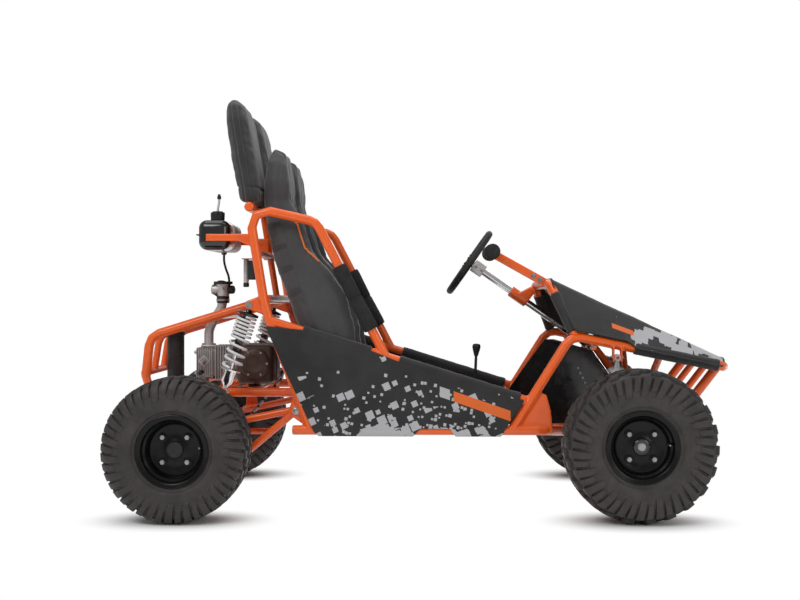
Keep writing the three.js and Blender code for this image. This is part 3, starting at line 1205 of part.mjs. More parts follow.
function upright(side) {
  const u = UPRIGHT;
  const y = (value) => side * value;
  const parts = [];
  const half = OUT_BUSH / 2 + RUN_GAP;
  for (const z of [lowerOutZ, upperOutZ]) {
    for (const end of [-1, 1]) {
      parts.push(block(vec(AXLE_X + end * (half + PLATE / 2), y((ARM_OUT_Y - BUSH_R + u.back + u.plate) / 2),
        z),
        PLATE, u.back + u.plate - ARM_OUT_Y + BUSH_R, 2 * u.earUp));
    }
    parts.push(rod(vec(AXLE_X - half - PLATE / 2, y(ARM_OUT_Y), z), vec(AXLE_X + half + PLATE / 2,
      y(ARM_OUT_Y), z),
      BOLT_R, BOLT_SIDES));
  }
  const low = lowerOutZ - u.earUp;
  const high = upperOutZ + u.earUp;
  const backY = y(u.back + u.plate / 2);
  for (const z of [lowerOutZ, upperOutZ]) {
    parts.push(block(vec(AXLE_X, backY, z), 2 * (half + PLATE), u.plate, 2 * u.earUp));
  }
  parts.push(block(vec(AXLE_X, backY, (low + high) / 2), u.waist, u.plate, high - low));
  for (const z of [kingpinLow, kingpinHigh]) {
    parts.push(block(vec(AXLE_X, y((u.back + KINGPIN_Y) / 2), z), 2 * u.lugR, KINGPIN_Y - u.back, u.lug));
    parts.push(rod(vec(AXLE_X, y(KINGPIN_Y), z - u.lug / 2), vec(AXLE_X, y(KINGPIN_Y), z + u.lug / 2),
      u.lugR));
  }
  parts.push(rod(vec(AXLE_X, y(KINGPIN_Y), kingpinLow), vec(AXLE_X, y(KINGPIN_Y), kingpinHigh), KINGPIN_R));
  return join(parts);
}

const kingpinLow = lowerOutZ + UPRIGHT.lug + BUSH_R / 2;
const kingpinHigh = upperOutZ - UPRIGHT.lug;

// Knuckle: barrel on the kingpin, stub axle out to the wheel, steering arm forward
const STUD = { radius: 6, thick: 9, wide: 9, gap: 1.8 };
const STUB = { shoulder: 14, shoulderLength: 20 };

function knuckle(side) {
  const low = kingpinLow + UPRIGHT.lug / 2 + SEAT_GAP;
  const high = kingpinHigh - UPRIGHT.lug / 2 - SEAT_GAP;
  const y = (value) => side * value;
  const barrel = rod(vec(AXLE_X, y(KINGPIN_Y), low), vec(AXLE_X, y(KINGPIN_Y), high), BARREL_R);
  const hubZ = FRONT_TYRE.radius;
  const stubStart = vec(AXLE_X, y(KINGPIN_Y), hubZ);
  const shoulder = rod(stubStart, vec(AXLE_X, y(KINGPIN_Y + BARREL_R + STUB.shoulderLength), hubZ),
    STUB.shoulder);
  const stub = rod(stubStart, vec(AXLE_X, y(FRONT_TRACK / 2 + DISC_SET - SEAT_GAP), hubZ), SPINDLE_R);
  const eyeTop = lowerOutZ + TIE.eyeHalf;
  const armZ = Math.max(low, eyeTop + OPEN_GAP + STUD.radius / 2) + STUD.thick / 2;
  const tip = vec(rackX, y(ARM_OUT_Y), armZ);
  const root = vec(AXLE_X, y(KINGPIN_Y), armZ);
  const ahead = tip.clone().sub(root).normalize();
  const across = vec(-ahead.y, ahead.x, 0).multiplyScalar(STUD.wide);
  const rings = [root, tip.clone().addScaledVector(ahead, STUD.wide)].map((p) =>
    [[-1, -1], [1, -1], [1, 1], [-1, 1]].map(([a, b]) =>
      p.clone().addScaledVector(across, a).add(vec(0, 0, b * STUD.thick / 2))));
  const stud = revolve([[0, 0], [STUD.radius * 0.5, STUD.radius * 0.2], [STUD.radius, STUD.radius * 0.7],
    [STUD.radius, armZ - eyeTop - STUD.gap], [0, armZ - eyeTop - STUD.gap]], ROD_SIDES,
  vec(rackX, y(ARM_OUT_Y), eyeTop + STUD.gap), up);
  const bore = rod(vec(AXLE_X, y(KINGPIN_Y), kingpinLow), vec(AXLE_X, y(KINGPIN_Y), kingpinHigh),
    running(KINGPIN_R));
  return cut(join(barrel, shoulder, stub, loft(rings), stud), bore);
}

// Wheel, lying on its own axis: distance along +Y is outward
const outward = vec(0, 1, 0);

function rim({ rimHalf }, bore, inner) {
  const face = DISC_SET;
  const well = BEAD_R - DROP;
  const lip = RIM_WALL;
  const w = rimHalf;
  const profile = [[bore, face + lip], [HUB_R, face + lip], [well - lip, face], [BEAD_R - lip, w - lip],
    [FLANGE_R, w + lip], [FLANGE_R, w], [BEAD_R, w - lip], [BEAD_R, w - DROP * 1.6], [well, w - DROP * 2.6],
    [well, DROP - w], [FLANGE_R, -w], [FLANGE_R, -w - lip], [well - lip, lip - w], [well - lip, face - lip],
    [bore, inner], [bore, face + lip]];
  const parts = [revolve(profile, RIM_SIDES, vec(0, 0, 0), outward)];
  for (let i = 0; i < 4; i += 1) {
    const turn = (i + 0.5) * Math.PI / 2;
    const [x, z] = [NUT_CIRCLE_R * Math.cos(turn), NUT_CIRCLE_R * Math.sin(turn)];
    parts.push(rod(vec(x, face - OVERRUN, z), vec(x, face + NUT_LENGTH, z), NUT_R, 6));
  }
  parts.push(rod(vec(0, face, 0), vec(0, face + NUT_LENGTH, 0), CAP_R, AXLE_SIDES));
  return join(parts);
}

// Tyre: bead, sidewall, and a tread whose blocks stagger from row to row
const treadShares = [[-0.90, 0.88, 0], [-0.62, 0.975, 1], [-0.26, 1.0, 0], [0.26, 1.0, 1], [0.62, 0.975, 0],
  [0.90, 0.88, 1]];

function tyre({ radius, halfWidth, rimHalf, lug }) {
  const bead = BEAD_R + SEAT_GAP / Math.cos(Math.PI / TYRE_COLUMNS);
  const lip = RIM_WALL;
  const wall = FLANGE_R + lip * 1.5;
  const rings = [];
  for (let i = 0; i < TYRE_COLUMNS; i += 1) {
    const turn = i * 2 * Math.PI / TYRE_COLUMNS;
    const tread = treadShares.map(([across, reach, phase]) =>
      [radius * reach - ((i + phase) % 2 ? lug : 0), across * halfWidth]);
    const shoulder = (wall + radius) / 2;
    const profile = [[bead, lip * 1.9 - rimHalf], [wall, lip * 0.2 - rimHalf], [shoulder, -halfWidth],
      ...tread,
      [shoulder, halfWidth], [wall, rimHalf - lip * 0.2], [bead, rimHalf - lip * 1.4]];
    rings.push(profile.map(([r, h]) => vec(r * Math.cos(turn), h, r * Math.sin(turn))));
  }
  return loft(rings, true);
}

// Shock absorber in its own frame: upper eye at the origin, axis down -Z, bolts along Y
const down = vec(0, 0, -1);

function shockUpper(s) {
  const seat = s.seatAt;
  const neck = s.eyeR * 0.8;
  const body = revolve([[0, s.eyeR * 0.5], [neck * 0.7, s.eyeR * 0.5], [s.tube, seat - BOLT_R], [s.seatR,
    seat],
    [s.seatR, seat + SEAT_PLATE], [s.tube, seat + SEAT_PLATE], [s.tube, s.tubeEnd], [s.shaft + RUN_GAP,
      s.tubeEnd],
    [s.shaft + RUN_GAP, seat + SEAT_PLATE], [0, seat + SEAT_PLATE]], ROD_SIDES, vec(0, 0, 0), down);
  const bore = BOLT_R + RUN_GAP;
  return cut(join(body, rod(vec(0, -s.eyeHalf, 0), vec(0, s.eyeHalf, 0), s.eyeR)),
    rod(vec(0, -s.eyeR - OVERRUN, 0), vec(0, s.eyeR + OVERRUN, 0), bore));
}

function shockLower(s, length) {
  const seat = length - s.eyeR - s.sleeve;
  const body = revolve([[0, s.shaftTop], [s.shaft, s.shaftTop], [s.shaft, seat - SEAT_PLATE], [s.seatR,
    seat - SEAT_PLATE],
    [s.seatR, seat], [s.sleeveR, seat + SEAT_PLATE / 2], [s.sleeveR, length - s.eyeR * 1.9],
    [s.eyeR * 0.6, length - s.eyeR * 1.2], [s.eyeR * 0.5, length], [0, length]], ROD_SIDES, vec(0, 0, 0),
      down);
  const bore = running(BOLT_R, ROD_SIDES, LOWER_EYE_GAP);
  return cut(join(body, rod(vec(0, -s.eyeHalf, -length), vec(0, s.eyeHalf, -length), s.eyeR)),
    rod(vec(0, -s.eyeR - OVERRUN, -length), vec(0, s.eyeR + OVERRUN, -length), bore));
}

// Coil spring: one unbroken wire, close-wound at the top and open below, its ends straight
function coilSpring(s, length) {
  const from = s.seatAt + SEAT_PLATE + s.wireR + SEAT_GAP;
  const to = length - s.eyeR - s.sleeve - SEAT_PLATE - s.wireR - SEAT_GAP;
  const turns = s.tightTurns + s.wideTurns;
  const widePitch = (to - from - s.tightTurns * s.tightPitch) / s.wideTurns;
  const height = (turn) => (turn < s.tightTurns ? turn * s.tightPitch
    : s.tightTurns * s.tightPitch + (turn - s.tightTurns) * widePitch);
  const steps = turns * COIL_STEPS;
  const centres = [];
  for (let i = 0; i <= steps; i += 1) {
    const turn = i / COIL_STEPS;
    const angle = turn * 2 * Math.PI;
    centres.push(vec(s.coilR * Math.cos(angle), s.coilR * Math.sin(angle), -(from + height(turn))));
  }
  const ends = [centres[0].clone().sub(centres[1]).setZ(0).setLength(2 * s.wireR).add(centres[0]),
    centres[steps].clone().sub(centres[steps - 1]).setZ(0).setLength(2 * s.wireR).add(centres[steps])];
  centres.unshift(ends[0]);
  centres.push(ends[1]);
  const rings = centres.map((centre, i) => {
    const before = centres[Math.max(i - 1, 0)];
    const after = centres[Math.min(i + 1, centres.length - 1)];
    const along = after.clone().sub(before).normalize();
    const side = along.clone().cross(up).normalize();
    const rise = side.clone().cross(along);
    const ring = [];
    for (let j = 0; j < COIL_SIDES; j += 1) {
      const roll = j * 2 * Math.PI / COIL_SIDES;
      ring.push(centre.clone().addScaledVector(side, s.wireR * Math.cos(roll)).addScaledVector(rise,
        s.wireR * Math.sin(roll)));
    }
    return ring;
  });
  return { body: loft(rings), gap: leastGap(centres, s.wireR) };
}

// Least gap between turns of a wire, from centre points more than half a turn apart
function leastGap(centres, wireR) {
  let least = Infinity;
  centres.forEach((p, i) => {
    for (let j = i + COIL_STEPS / 2 + 1; j < centres.length; j += 1) {
      least = Math.min(least, p.distanceTo(centres[j]) - 2 * wireR);
    }
  });
  return least;
}

// Swing arm: pivot tube, two bent side arms, bearing carriers and shock mounts
const LOWER_ARM_SHARE = [0.1338, 0.1418];
const SWING_CROSS = { x: 112, z: 291 };
const MOUNT_BLOCK = { half: 22, height: 24, ear: 10 };

function swingArm() {
  const pivot = at(armPivotShare, 0);
  const axleZ = REAR_TYRE.radius;
  const shell = rod(vec(pivot.x, -ARM_SHELL_Y, pivot.z), vec(pivot.x, ARM_SHELL_Y, pivot.z), ARM_TUBE_R);
  const parts = [shell];
  for (const side of [-1, 1]) {
    const armY = side * ARM_Y;
    parts.push(rod(vec(pivot.x, armY, pivot.z), vec(0, side * CARRIER_Y, axleZ + CARRIER_R - LIGHT_R),
      LIGHT_R));
    parts.push(tube([vec(pivot.x, armY, pivot.z), at(LOWER_ARM_SHARE, armY),
      vec(0, side * CARRIER_Y, axleZ - CARRIER_R + LIGHT_R)], LIGHT_R));
    parts.push(rod(vec(0, side * (CARRIER_Y - CARRIER_WIDTH / 2), axleZ),
      vec(0, side * (CARRIER_Y + CARRIER_WIDTH / 2), axleZ), CARRIER_R, AXLE_SIDES));
    parts.push(...armShockMount(side));
  }
  parts.push(rod(vec(SWING_CROSS.x, -ARM_Y, SWING_CROSS.z), vec(SWING_CROSS.x, ARM_Y, SWING_CROSS.z), LIGHT_R,
    LIGHT_SIDES));
  const low = at(LOWER_ARM_SHARE, 0);
  parts.push(rod(vec(low.x, -ARM_Y, low.z), vec(low.x, ARM_Y, low.z), LIGHT_R, LIGHT_SIDES));
  const whole = join(parts);
  const bores = [-1, 1].map((end) => rod(vec(pivot.x, end * (ARM_SHELL_Y + OVERRUN), pivot.z),
    vec(pivot.x, end * (ARM_SHELL_Y - PIVOT_LUG.pinReach - OVERRUN), pivot.z), PIVOT_LUG.pinR + RUN_GAP));
  const axle = rod(vec(0, -ARM_Y - OVERRUN, axleZ), vec(0, ARM_Y + OVERRUN, axleZ), running(AXLE_R,
    AXLE_SIDES),
    AXLE_SIDES);
  return cut(whole, bores, axle);
}

function armShockMount(side) {
  const low = at(rearShockLowShare, 0);
  const gap = REAR_SHOCK.eyeHalf + RUN_GAP;
  const m = MOUNT_BLOCK;
  const pivot = at(armPivotShare, 0);
  const top = REAR_TYRE.radius + CARRIER_R - LIGHT_R;
  const legZ = top + (pivot.z - top) * low.x / pivot.x;
  const legY = CARRIER_Y + (ARM_Y - CARRIER_Y) * low.x / pivot.x;
  const outY = REAR_SHOCK.y + gap + PLATE;
  const base = block(vec(low.x, side * (legY + outY) / 2, legZ), 2 * m.half, outY - legY, m.height);
  const ears = [-1, 1].map((end) => platePlan([[low.x - m.half, legZ], [low.x + m.half, legZ],
    [low.x + m.ear, low.z], [low.x + m.ear / 2, low.z + m.ear], [low.x - m.ear / 2, low.z + m.ear],
    [low.x - m.ear, low.z]], side * (REAR_SHOCK.y + end * (gap + PLATE / 2)), PLATE));
  const pin = rod(vec(low.x, side * (REAR_SHOCK.y - gap - PLATE / 2), low.z),
    vec(low.x, side * (outY - PLATE / 2), low.z), BOLT_R, BOLT_SIDES);
  return [base, ...ears, pin];
}

// Rear axle with its hubs, sprocket and brake disc
const AXLE = { hubR: 50, hub: 10, collar: 8, step: 4 };

function sprocketOutline(grow) {
  const outline = [];
  for (let i = 0; i < SPROCKET_TEETH; i += 1) {
    for (const [part, reach] of [[0, 0], [0.5, 1]]) {
      const turn = (i + part) * 2 * Math.PI / SPROCKET_TEETH;
      const r = SPROCKET_R + reach * TOOTH + grow;
      outline.push([r * Math.cos(turn), r * Math.sin(turn) + REAR_TYRE.radius]);
    }
  }
  return outline;
}

function rearAxle() {
  const axleZ = REAR_TYRE.radius;
  const faceY = REAR_TRACK / 2 + DISC_SET - RIM_WALL - SEAT_GAP;
  const parts = [rod(vec(0, -faceY, axleZ), vec(0, faceY, axleZ), AXLE_R)];
  for (const side of [-1, 1]) {
    parts.push(rod(vec(0, side * (faceY - AXLE.hub), axleZ), vec(0, side * faceY, axleZ), AXLE.hubR,
      AXLE_SIDES));
    const inner = CARRIER_Y + CARRIER_WIDTH / 2 + RUN_GAP;
    parts.push(rod(vec(0, side * inner, axleZ), vec(0, side * (inner + CARRIER_WIDTH / 2), axleZ),
      AXLE_R + AXLE.collar));
  }
  parts.push(platePlan(sprocketOutline(0), SPROCKET_Y, SPROCKET_WIDTH));
  parts.push(rod(vec(0, -SPROCKET_Y - DISC_WIDTH / 2, axleZ), vec(0, -SPROCKET_Y + DISC_WIDTH / 2, axleZ),
    DISC_R, RIM_SIDES));
  return join(parts);
}

// Chain: one closed band round the axle's sprocket and the engine's drive sprocket
const DRIVE = { x: 235, z: 425, radius: 26, drumR: 18.5, shaftR: 9 };
const CHAIN = { half: 5, width: 14, wrap: 18, frontWrap: 6, strand: 12, scallop: 1.4 };

// Places along the chain's pitch line, each with its outward direction
function chainLine() {
  const rear = vec(0, 0, REAR_TYRE.radius);
  const front = vec(DRIVE.x, 0, DRIVE.z);
  const pitchR = SPROCKET_R + TOOTH / 2;
  const line = Math.atan2(front.z - rear.z, front.x - rear.x);
  const swing = Math.acos((pitchR - DRIVE.radius) / front.distanceTo(rear));
  const places = [];
  const arc = (centre, radius, from, to, count) => {
    for (let i = 0; i < count; i += 1) {
      const turn = from + (to - from) * i / count;
      const out = vec(Math.cos(turn), 0, Math.sin(turn));
      places.push({ point: centre.clone().addScaledVector(out, radius), out });
    }
  };
  const strand = (turn, from, fromR, to, toR) => {
    const out = vec(Math.cos(turn), 0, Math.sin(turn));
    const start = from.clone().addScaledVector(out, fromR);
    const end = to.clone().addScaledVector(out, toR);
    for (let i = 0; i < CHAIN.strand; i += 1) places.push({ point: mid(start, end, i / CHAIN.strand), out });
  };
  arc(rear, pitchR, line + swing, line - swing + 2 * Math.PI, CHAIN.wrap);
  strand(line - swing, rear, pitchR, front, DRIVE.radius);
  arc(front, DRIVE.radius, line - swing, line + swing, CHAIN.frontWrap);
  strand(line + swing, front, DRIVE.radius, rear, pitchR);
  return places;
}

function chain() {
  const offset = ({ point, out }, reach) => [point.x + out.x * reach, point.z + out.z * reach];
  const places = chainLine();
  const outer = places.map((place, i) => offset(place, CHAIN.half - (i % 2) * CHAIN.scallop));
  const inner = places.map((place) => offset(place, -CHAIN.half));
  return cut(platePlan(outer, SPROCKET_Y, CHAIN.width), platePlan(inner, SPROCKET_Y, CHAIN.width + OVERRUN),
    platePlan(sprocketOutline(RUN_GAP), SPROCKET_Y, SPROCKET_WIDTH + 2 * RUN_GAP));
}

// Assembly
add('frame_rear', frameRear(), orange);
add('frame_front', frameFront(), orange);
add('hood_cover', hood(), fabric);
add('footwell_tub', footwellTub(), blackPlastic);
add('grab_bar', grabBar(), orange);
add('fuel_tank', fuelTank(), blackSteel);
add('fuel_cap', fuelCap(), blackPlastic);
add('engine', engine(), alloy);
add('carburettor', carburettor(), blackSteel);
add('muffler', muffler(), blackSteel);
add('chain', chain(), bronze);
add('swing_arm', swingArm(), orange);
add('rear_axle', rearAxle(), blackSteel);
add('steering_column', steeringColumn(), chrome);
add('steering_shaft', lowerShaft(), alloy);
add('steering_rack', steeringRack(), alloy);
add('shift_lever', shiftLever(), blackPlastic);
for (const spec of PEDALS) add(spec.name, pedal(spec), blackSteel);

const wheelMesh = add('steering_wheel', steeringWheel(), rubber);
wheelMesh.position.copy(wheelCentre);
wheelMesh.rotation.y = Math.PI / 2 + STEER_TILT;

const frontSpring = coilSpring(FRONT_SHOCK, shockLength(frontShockTopShare, FRONT_SHOCK.y, frontShockLowShare,
  LOWER_MOUNT_Y));
const rearSpring = coilSpring(REAR_SHOCK, shockLength(rearShockTopShare, REAR_SHOCK.y, rearShockLowShare,
  REAR_SHOCK.y));
console.log('least gap in the springs, mm:', frontSpring.gap.toFixed(2), rearSpring.gap.toFixed(2));

function shockLength(topShare, topY, lowShare, lowY) {
  return at(topShare, topY).distanceTo(at(lowShare, lowY));
}

function addShock(name, s, top, low, coil, boltTurn) {
  const length = top.distanceTo(low);
  const group = new THREE.Group();
  group.position.copy(top);
  group.quaternion.setFromUnitVectors(down, low.clone().sub(top).normalize());
  const turned = new THREE.Group();
  turned.rotation.z = boltTurn;
  group.add(turned);
  kart.add(group);
  add(`${name}_shock_body`, shockUpper(s), blackSteel, turned);
  add(`${name}_shock_rod`, shockLower(s, length), chrome, turned);
  add(`${name}_spring`, coil, springWhite, turned);
}

function addWheel(name, size, bore, inner, track, x, side) {
  const group = new THREE.Group();
  group.position.set(x, side * track / 2, size.radius);
  if (side < 0) group.rotation.x = Math.PI;
  kart.add(group);
  add(`${name}_rim`, rim(size, bore, inner), blackSteel, group);
  add(`${name}_tyre`, tyre(size), rubber, group);
}

for (const [name, side] of SIDES) {
  add(`frame_side_${name}`, sideFrame(side), orange);
  add(`side_panel_${name}`, sidePanel(side), fabric);
  add(`foam_grip_${name}`, foamGrip(side), foam);
  add(`headrest_${name}`, headrest(side * HEADREST.y), fabric);
  add(`seat_${name}`, seat(), fabric).position.y = side * SEAT.y;
  add(`lower_arm_${name}`, lowerArm(side), orange);
  add(`upper_arm_${name}`, upperArm(side), orange);
  add(`upright_${name}`, upright(side), blackSteel);
  add(`knuckle_${name}`, knuckle(side), blackSteel);
  add(`tie_rod_${name}`, tieRod(side), alloy);
  addWheel(`front_${name}`, FRONT_TYRE, SPINDLE_R + RUN_GAP, FRONT_HUB_IN, FRONT_TRACK, AXLE_X, side);
  addWheel(`rear_${name}`, REAR_TYRE, AXLE_R + RUN_GAP, DISC_SET - RIM_WALL, REAR_TRACK, 0, side);
  addShock(`front_${name}`, FRONT_SHOCK, at(frontShockTopShare, side * FRONT_SHOCK.y),
    at(frontShockLowShare, side * LOWER_MOUNT_Y), frontSpring.body, Math.PI / 2);
  addShock(`rear_${name}`, REAR_SHOCK, at(rearShockTopShare, side * REAR_SHOCK.y),
    at(rearShockLowShare, side * REAR_SHOCK.y), rearSpring.body, 0);
}

export default kart;
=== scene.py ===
"""Two-seat off-road kart: paint, cloth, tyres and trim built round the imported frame."""
import json
import math

import bmesh
import bpy
import numpy as np
from mathutils import Matrix, Vector, noise
from mathutils.bvhtree import BVHTree


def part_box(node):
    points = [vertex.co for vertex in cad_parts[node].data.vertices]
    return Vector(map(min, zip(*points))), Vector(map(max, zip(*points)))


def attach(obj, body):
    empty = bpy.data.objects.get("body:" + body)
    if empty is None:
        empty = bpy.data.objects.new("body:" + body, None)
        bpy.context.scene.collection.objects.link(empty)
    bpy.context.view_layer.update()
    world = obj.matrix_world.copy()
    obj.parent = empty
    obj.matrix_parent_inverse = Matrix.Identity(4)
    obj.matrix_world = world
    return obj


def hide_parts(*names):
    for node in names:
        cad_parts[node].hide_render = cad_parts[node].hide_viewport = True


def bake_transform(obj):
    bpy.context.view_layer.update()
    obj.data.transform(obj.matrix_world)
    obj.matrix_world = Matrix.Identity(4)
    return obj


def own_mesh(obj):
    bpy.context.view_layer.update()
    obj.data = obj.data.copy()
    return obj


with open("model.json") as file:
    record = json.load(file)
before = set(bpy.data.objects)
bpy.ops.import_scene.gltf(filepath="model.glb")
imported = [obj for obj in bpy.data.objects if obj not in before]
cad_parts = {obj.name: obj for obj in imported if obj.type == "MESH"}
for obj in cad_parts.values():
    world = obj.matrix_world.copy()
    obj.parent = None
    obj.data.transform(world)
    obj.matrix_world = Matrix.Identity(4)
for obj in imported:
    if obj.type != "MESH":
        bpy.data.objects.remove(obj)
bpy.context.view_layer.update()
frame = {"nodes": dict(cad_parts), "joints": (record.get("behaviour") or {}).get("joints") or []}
joints = {joint["name"]: joint for joint in frame["joints"]}
nodes = frame["nodes"]

MM = 0.001
SIDES = (("right", -1), ("left", 1))
FRAME_HALF = 0.368
FRONT_AXLE_X, REAR_AXLE_X, TRACK_Y = 0.6798, -0.7772, 0.505
UP = Vector((0, 0, 1))
ACROSS = Vector((0, 1, 0))


# Camera: level, standing off the right side of the kart, as fitted to the photograph
CAMERA_PLACE = Vector((-0.0052, -4.285, 0.698))
CAMERA_TURN = 0.0178
CAMERA_LENS = 53.87
SENSOR_WIDTH = 36


def add_camera():
    data = bpy.data.cameras.new("camera")
    data.lens = CAMERA_LENS
    data.sensor_width = SENSOR_WIDTH
    camera = bpy.data.objects.new("camera", data)
    camera.location = CAMERA_PLACE
    camera.rotation_euler = (math.pi / 2, 0, CAMERA_TURN)
    bpy.context.scene.collection.objects.link(camera)
    bpy.context.scene.camera = camera


# Materials
COAT_ROUGH, SHEEN_ROUGH = 0.12, 0.5
# Where most of a noise's values lie
NOISE_SPAN = (0.3, 0.7)
# Period of the wave texture at scale 1
WAVE_PERIOD = 3.14


def shader(name, colour, rough, metal=0.0, coat=0.0, sheen=0.0, specular=0.5):
    material = bpy.data.materials.new(name)
    material.use_nodes = True
    inputs = material.node_tree.nodes["Principled BSDF"].inputs
    for key, value in {"Base Color": (*colour, 1), "Roughness": rough, "Metallic": metal, "Coat Weight": coat,
                       "Coat Roughness": COAT_ROUGH, "Sheen Weight": sheen, "Sheen Roughness": SHEEN_ROUGH,
                       "Specular IOR Level": specular}.items():
        inputs[key].default_value = value
    return material


class Graph:
    """Short calls for a material's node tree."""

    def __init__(self, material):
        self.tree = material.node_tree
        self.bsdf = self.tree.nodes["Principled BSDF"]
        self.place = self.tree.nodes.new("ShaderNodeTexCoord").outputs["Object"]

    def link(self, a, b):
        self.tree.links.new(a, b)

    def feed(self, socket, value):
        """Links the socket, or sets it to a number or tuple."""
        if isinstance(value, bpy.types.NodeSocket):
            self.link(value, socket)
        else:
            socket.default_value = value

    def add(self, kind, inputs=None, **settings):
        node = self.tree.nodes.new(kind)
        for key, value in settings.items():
            setattr(node, key, value)
        for key, value in (inputs or {}).items():
            self.feed(node.inputs[key], value)
        return node

    def mapped(self, scale, turn=(0, 0, 0)):
        inputs = {"Scale": scale, "Rotation": turn, "Vector": self.place}
        return self.add("ShaderNodeMapping", inputs).outputs["Vector"]

    def noise(self, scale, detail=3.0, rough=0.55, vector=None):
        inputs = {"Scale": scale, "Detail": detail, "Roughness": rough, "Vector": vector or self.place}
        return self.add("ShaderNodeTexNoise", inputs).outputs["Fac"]

    def wave(self, scale, vector=None):
        inputs = {"Scale": scale, "Vector": vector or self.place}
        return self.add("ShaderNodeTexWave", inputs, bands_direction="DIAGONAL").outputs["Fac"]

    def range(self, value, low, high, new_low, new_high, smooth=False):
        inputs = {"Value": value, "From Min": low, "From Max": high, "To Min": new_low, "To Max": new_high}
        kind = "SMOOTHSTEP" if smooth else "LINEAR"
        return self.add("ShaderNodeMapRange", inputs, interpolation_type=kind).outputs["Result"]

    def math(self, operation, a, b):
        return self.add("ShaderNodeMath", {0: a, 1: b}, operation=operation).outputs["Value"]

    def away(self, value, middle=0):
        """How far a value is from the middle."""
        off = self.math("SUBTRACT", value, middle) if middle else value
        return self.math("ABSOLUTE", off, 0)

    def mix(self, factor, a, b):
        node = self.add("ShaderNodeMix", data_type="RGBA")
        for key, value in (("Factor", factor), ("A", a), ("B", b)):
            kind = "VALUE" if key == "Factor" else "RGBA"
            socket = next(s for s in node.inputs if s.name == key and s.type == kind)
            self.feed(socket, (*value, 1) if isinstance(value, tuple) else value)
        return next(s for s in node.outputs if s.type == "RGBA")

    def axes(self):
        node = self.add("ShaderNodeSeparateXYZ", {"Vector": self.place})
        return node.outputs["X"], node.outputs["Y"], node.outputs["Z"]

    def bump(self, height, strength, depth, under=None):
        node = self.add("ShaderNodeBump", {"Strength": strength, "Distance": depth, "Height": height})
        if under:
            self.link(under, node.inputs["Normal"])
        return node.outputs["Normal"]

    def set(self, name, socket):
        self.link(socket, self.bsdf.inputs[name])


def tint(colour, factor):
    return tuple(min(channel * factor, 1) for channel in colour)


def finish_surface(material, colour, rough, mottle=(30, 0.2), grain=(600, 0.25, 0.0004), spread=0.1,
                   shade=None):
    """Colour that drifts a little, roughness that follows it, and fine grain in the bump."""
    graph = Graph(material)
    drift = graph.noise(mottle[0])
    base = graph.mix(graph.range(drift, *NOISE_SPAN, 0, 1), tint(colour, 1 - mottle[1]),
                     tint(colour, 1 + mottle[1]))
    graph.set("Base Color", shade(graph, base) if shade else base)
    graph.set("Roughness", graph.range(graph.noise(mottle[0] * 2.3), *NOISE_SPAN, rough - spread,
                                       rough + spread))
    graph.set("Normal", graph.bump(graph.noise(grain[0], 2), grain[1], grain[2]))
    return material


def simple(name, colour, rough, metal=0.0, coat=0.0, sheen=0.0, **more):
    return finish_surface(shader(name, colour, rough, metal, coat, sheen), colour, rough, **more)


def weave(graph, pitch, strength, depth):
    """Plain weave: two crossed sets of threads, at the thread's real pitch."""
    scale = 1 / (pitch * WAVE_PERIOD)
    warp = graph.wave(scale)
    weft = graph.wave(scale, graph.mapped(scale=(-1, 1, 1)))
    threads = graph.math("MULTIPLY", warp, weft)
    soft = graph.bump(graph.noise(9, 4), 0.35, 0.006)
    return graph.bump(threads, strength, depth, soft)


def cloth(name, colour, rough=0.85, sheen=0.25, pitch=0.0016, shade=None):
    material = shader(name, colour, rough, sheen=sheen)
    graph = Graph(material)
    fade = graph.range(graph.noise(5, 5), *NOISE_SPAN, 0, 1)
    base = graph.mix(fade, tint(colour, 0.82), tint(colour, 1.25))
    lint = graph.range(graph.noise(420, 2), 0.62, 0.75, 0, 0.35)
    base = graph.mix(lint, base, tint(colour, 2.0))
    graph.set("Base Color", shade(graph, base) if shade else base)
    graph.set("Roughness", graph.range(graph.noise(12), *NOISE_SPAN, rough - 0.12, rough + 0.08))
    graph.set("Normal", weave(graph, pitch, 0.5, 0.0006))
    return material


PRINT_GREY = (0.50, 0.50, 0.52)
PRINT_ORANGE = (0.84, 0.16, 0.025)
CLOTH_BLACK = (0.022, 0.021, 0.021)


def square_cells(graph, pitch, uneven, turn):
    """Outputs of a texture of slanted square cells in the side view."""
    inputs = {"Scale": 1 / pitch, "Randomness": uneven,
              "Vector": graph.mapped(scale=(1, 0.001, 1), turn=(0, turn, 0))}
    return graph.add("ShaderNodeTexVoronoi", inputs, distance="CHEBYCHEV").outputs


def chips(graph, base, pitch, density, turn):
    """Generic print: slanted square chips of light grey, thinning out as the density falls."""
    cells = square_cells(graph, pitch, 0.35, turn)
    split = graph.add("ShaderNodeSeparateColor", {"Color": cells["Color"]})
    chosen = graph.math("LESS_THAN", split.outputs["Red"], density)
    reach = graph.range(split.outputs["Green"], 0, 1, 0.22, 0.52)
    inside = graph.math("LESS_THAN", cells["Distance"], reach)
    mask = graph.math("MULTIPLY", chosen, inside)
    worn = graph.range(graph.noise(160, 4), 0.25, 0.4, 0.55, 1)
    return graph.mix(graph.math("MULTIPLY", mask, worn), base, PRINT_GREY)


def patches(graph, base, pitch, density, turn, gather):
    """Generic print: whole slanted cells of grey that gather into ragged patches."""
    cells = square_cells(graph, pitch, 0.45, turn)
    cell = graph.noise(gather, 2, 0.5, cells["Position"])
    mask = graph.math("LESS_THAN", cell, graph.range(density, 0, 1, 0.28, 0.60))
    worn = graph.range(graph.noise(120, 4), 0.22, 0.36, 0.6, 1)
    return graph.mix(graph.math("MULTIPLY", mask, worn), base, PRINT_GREY)


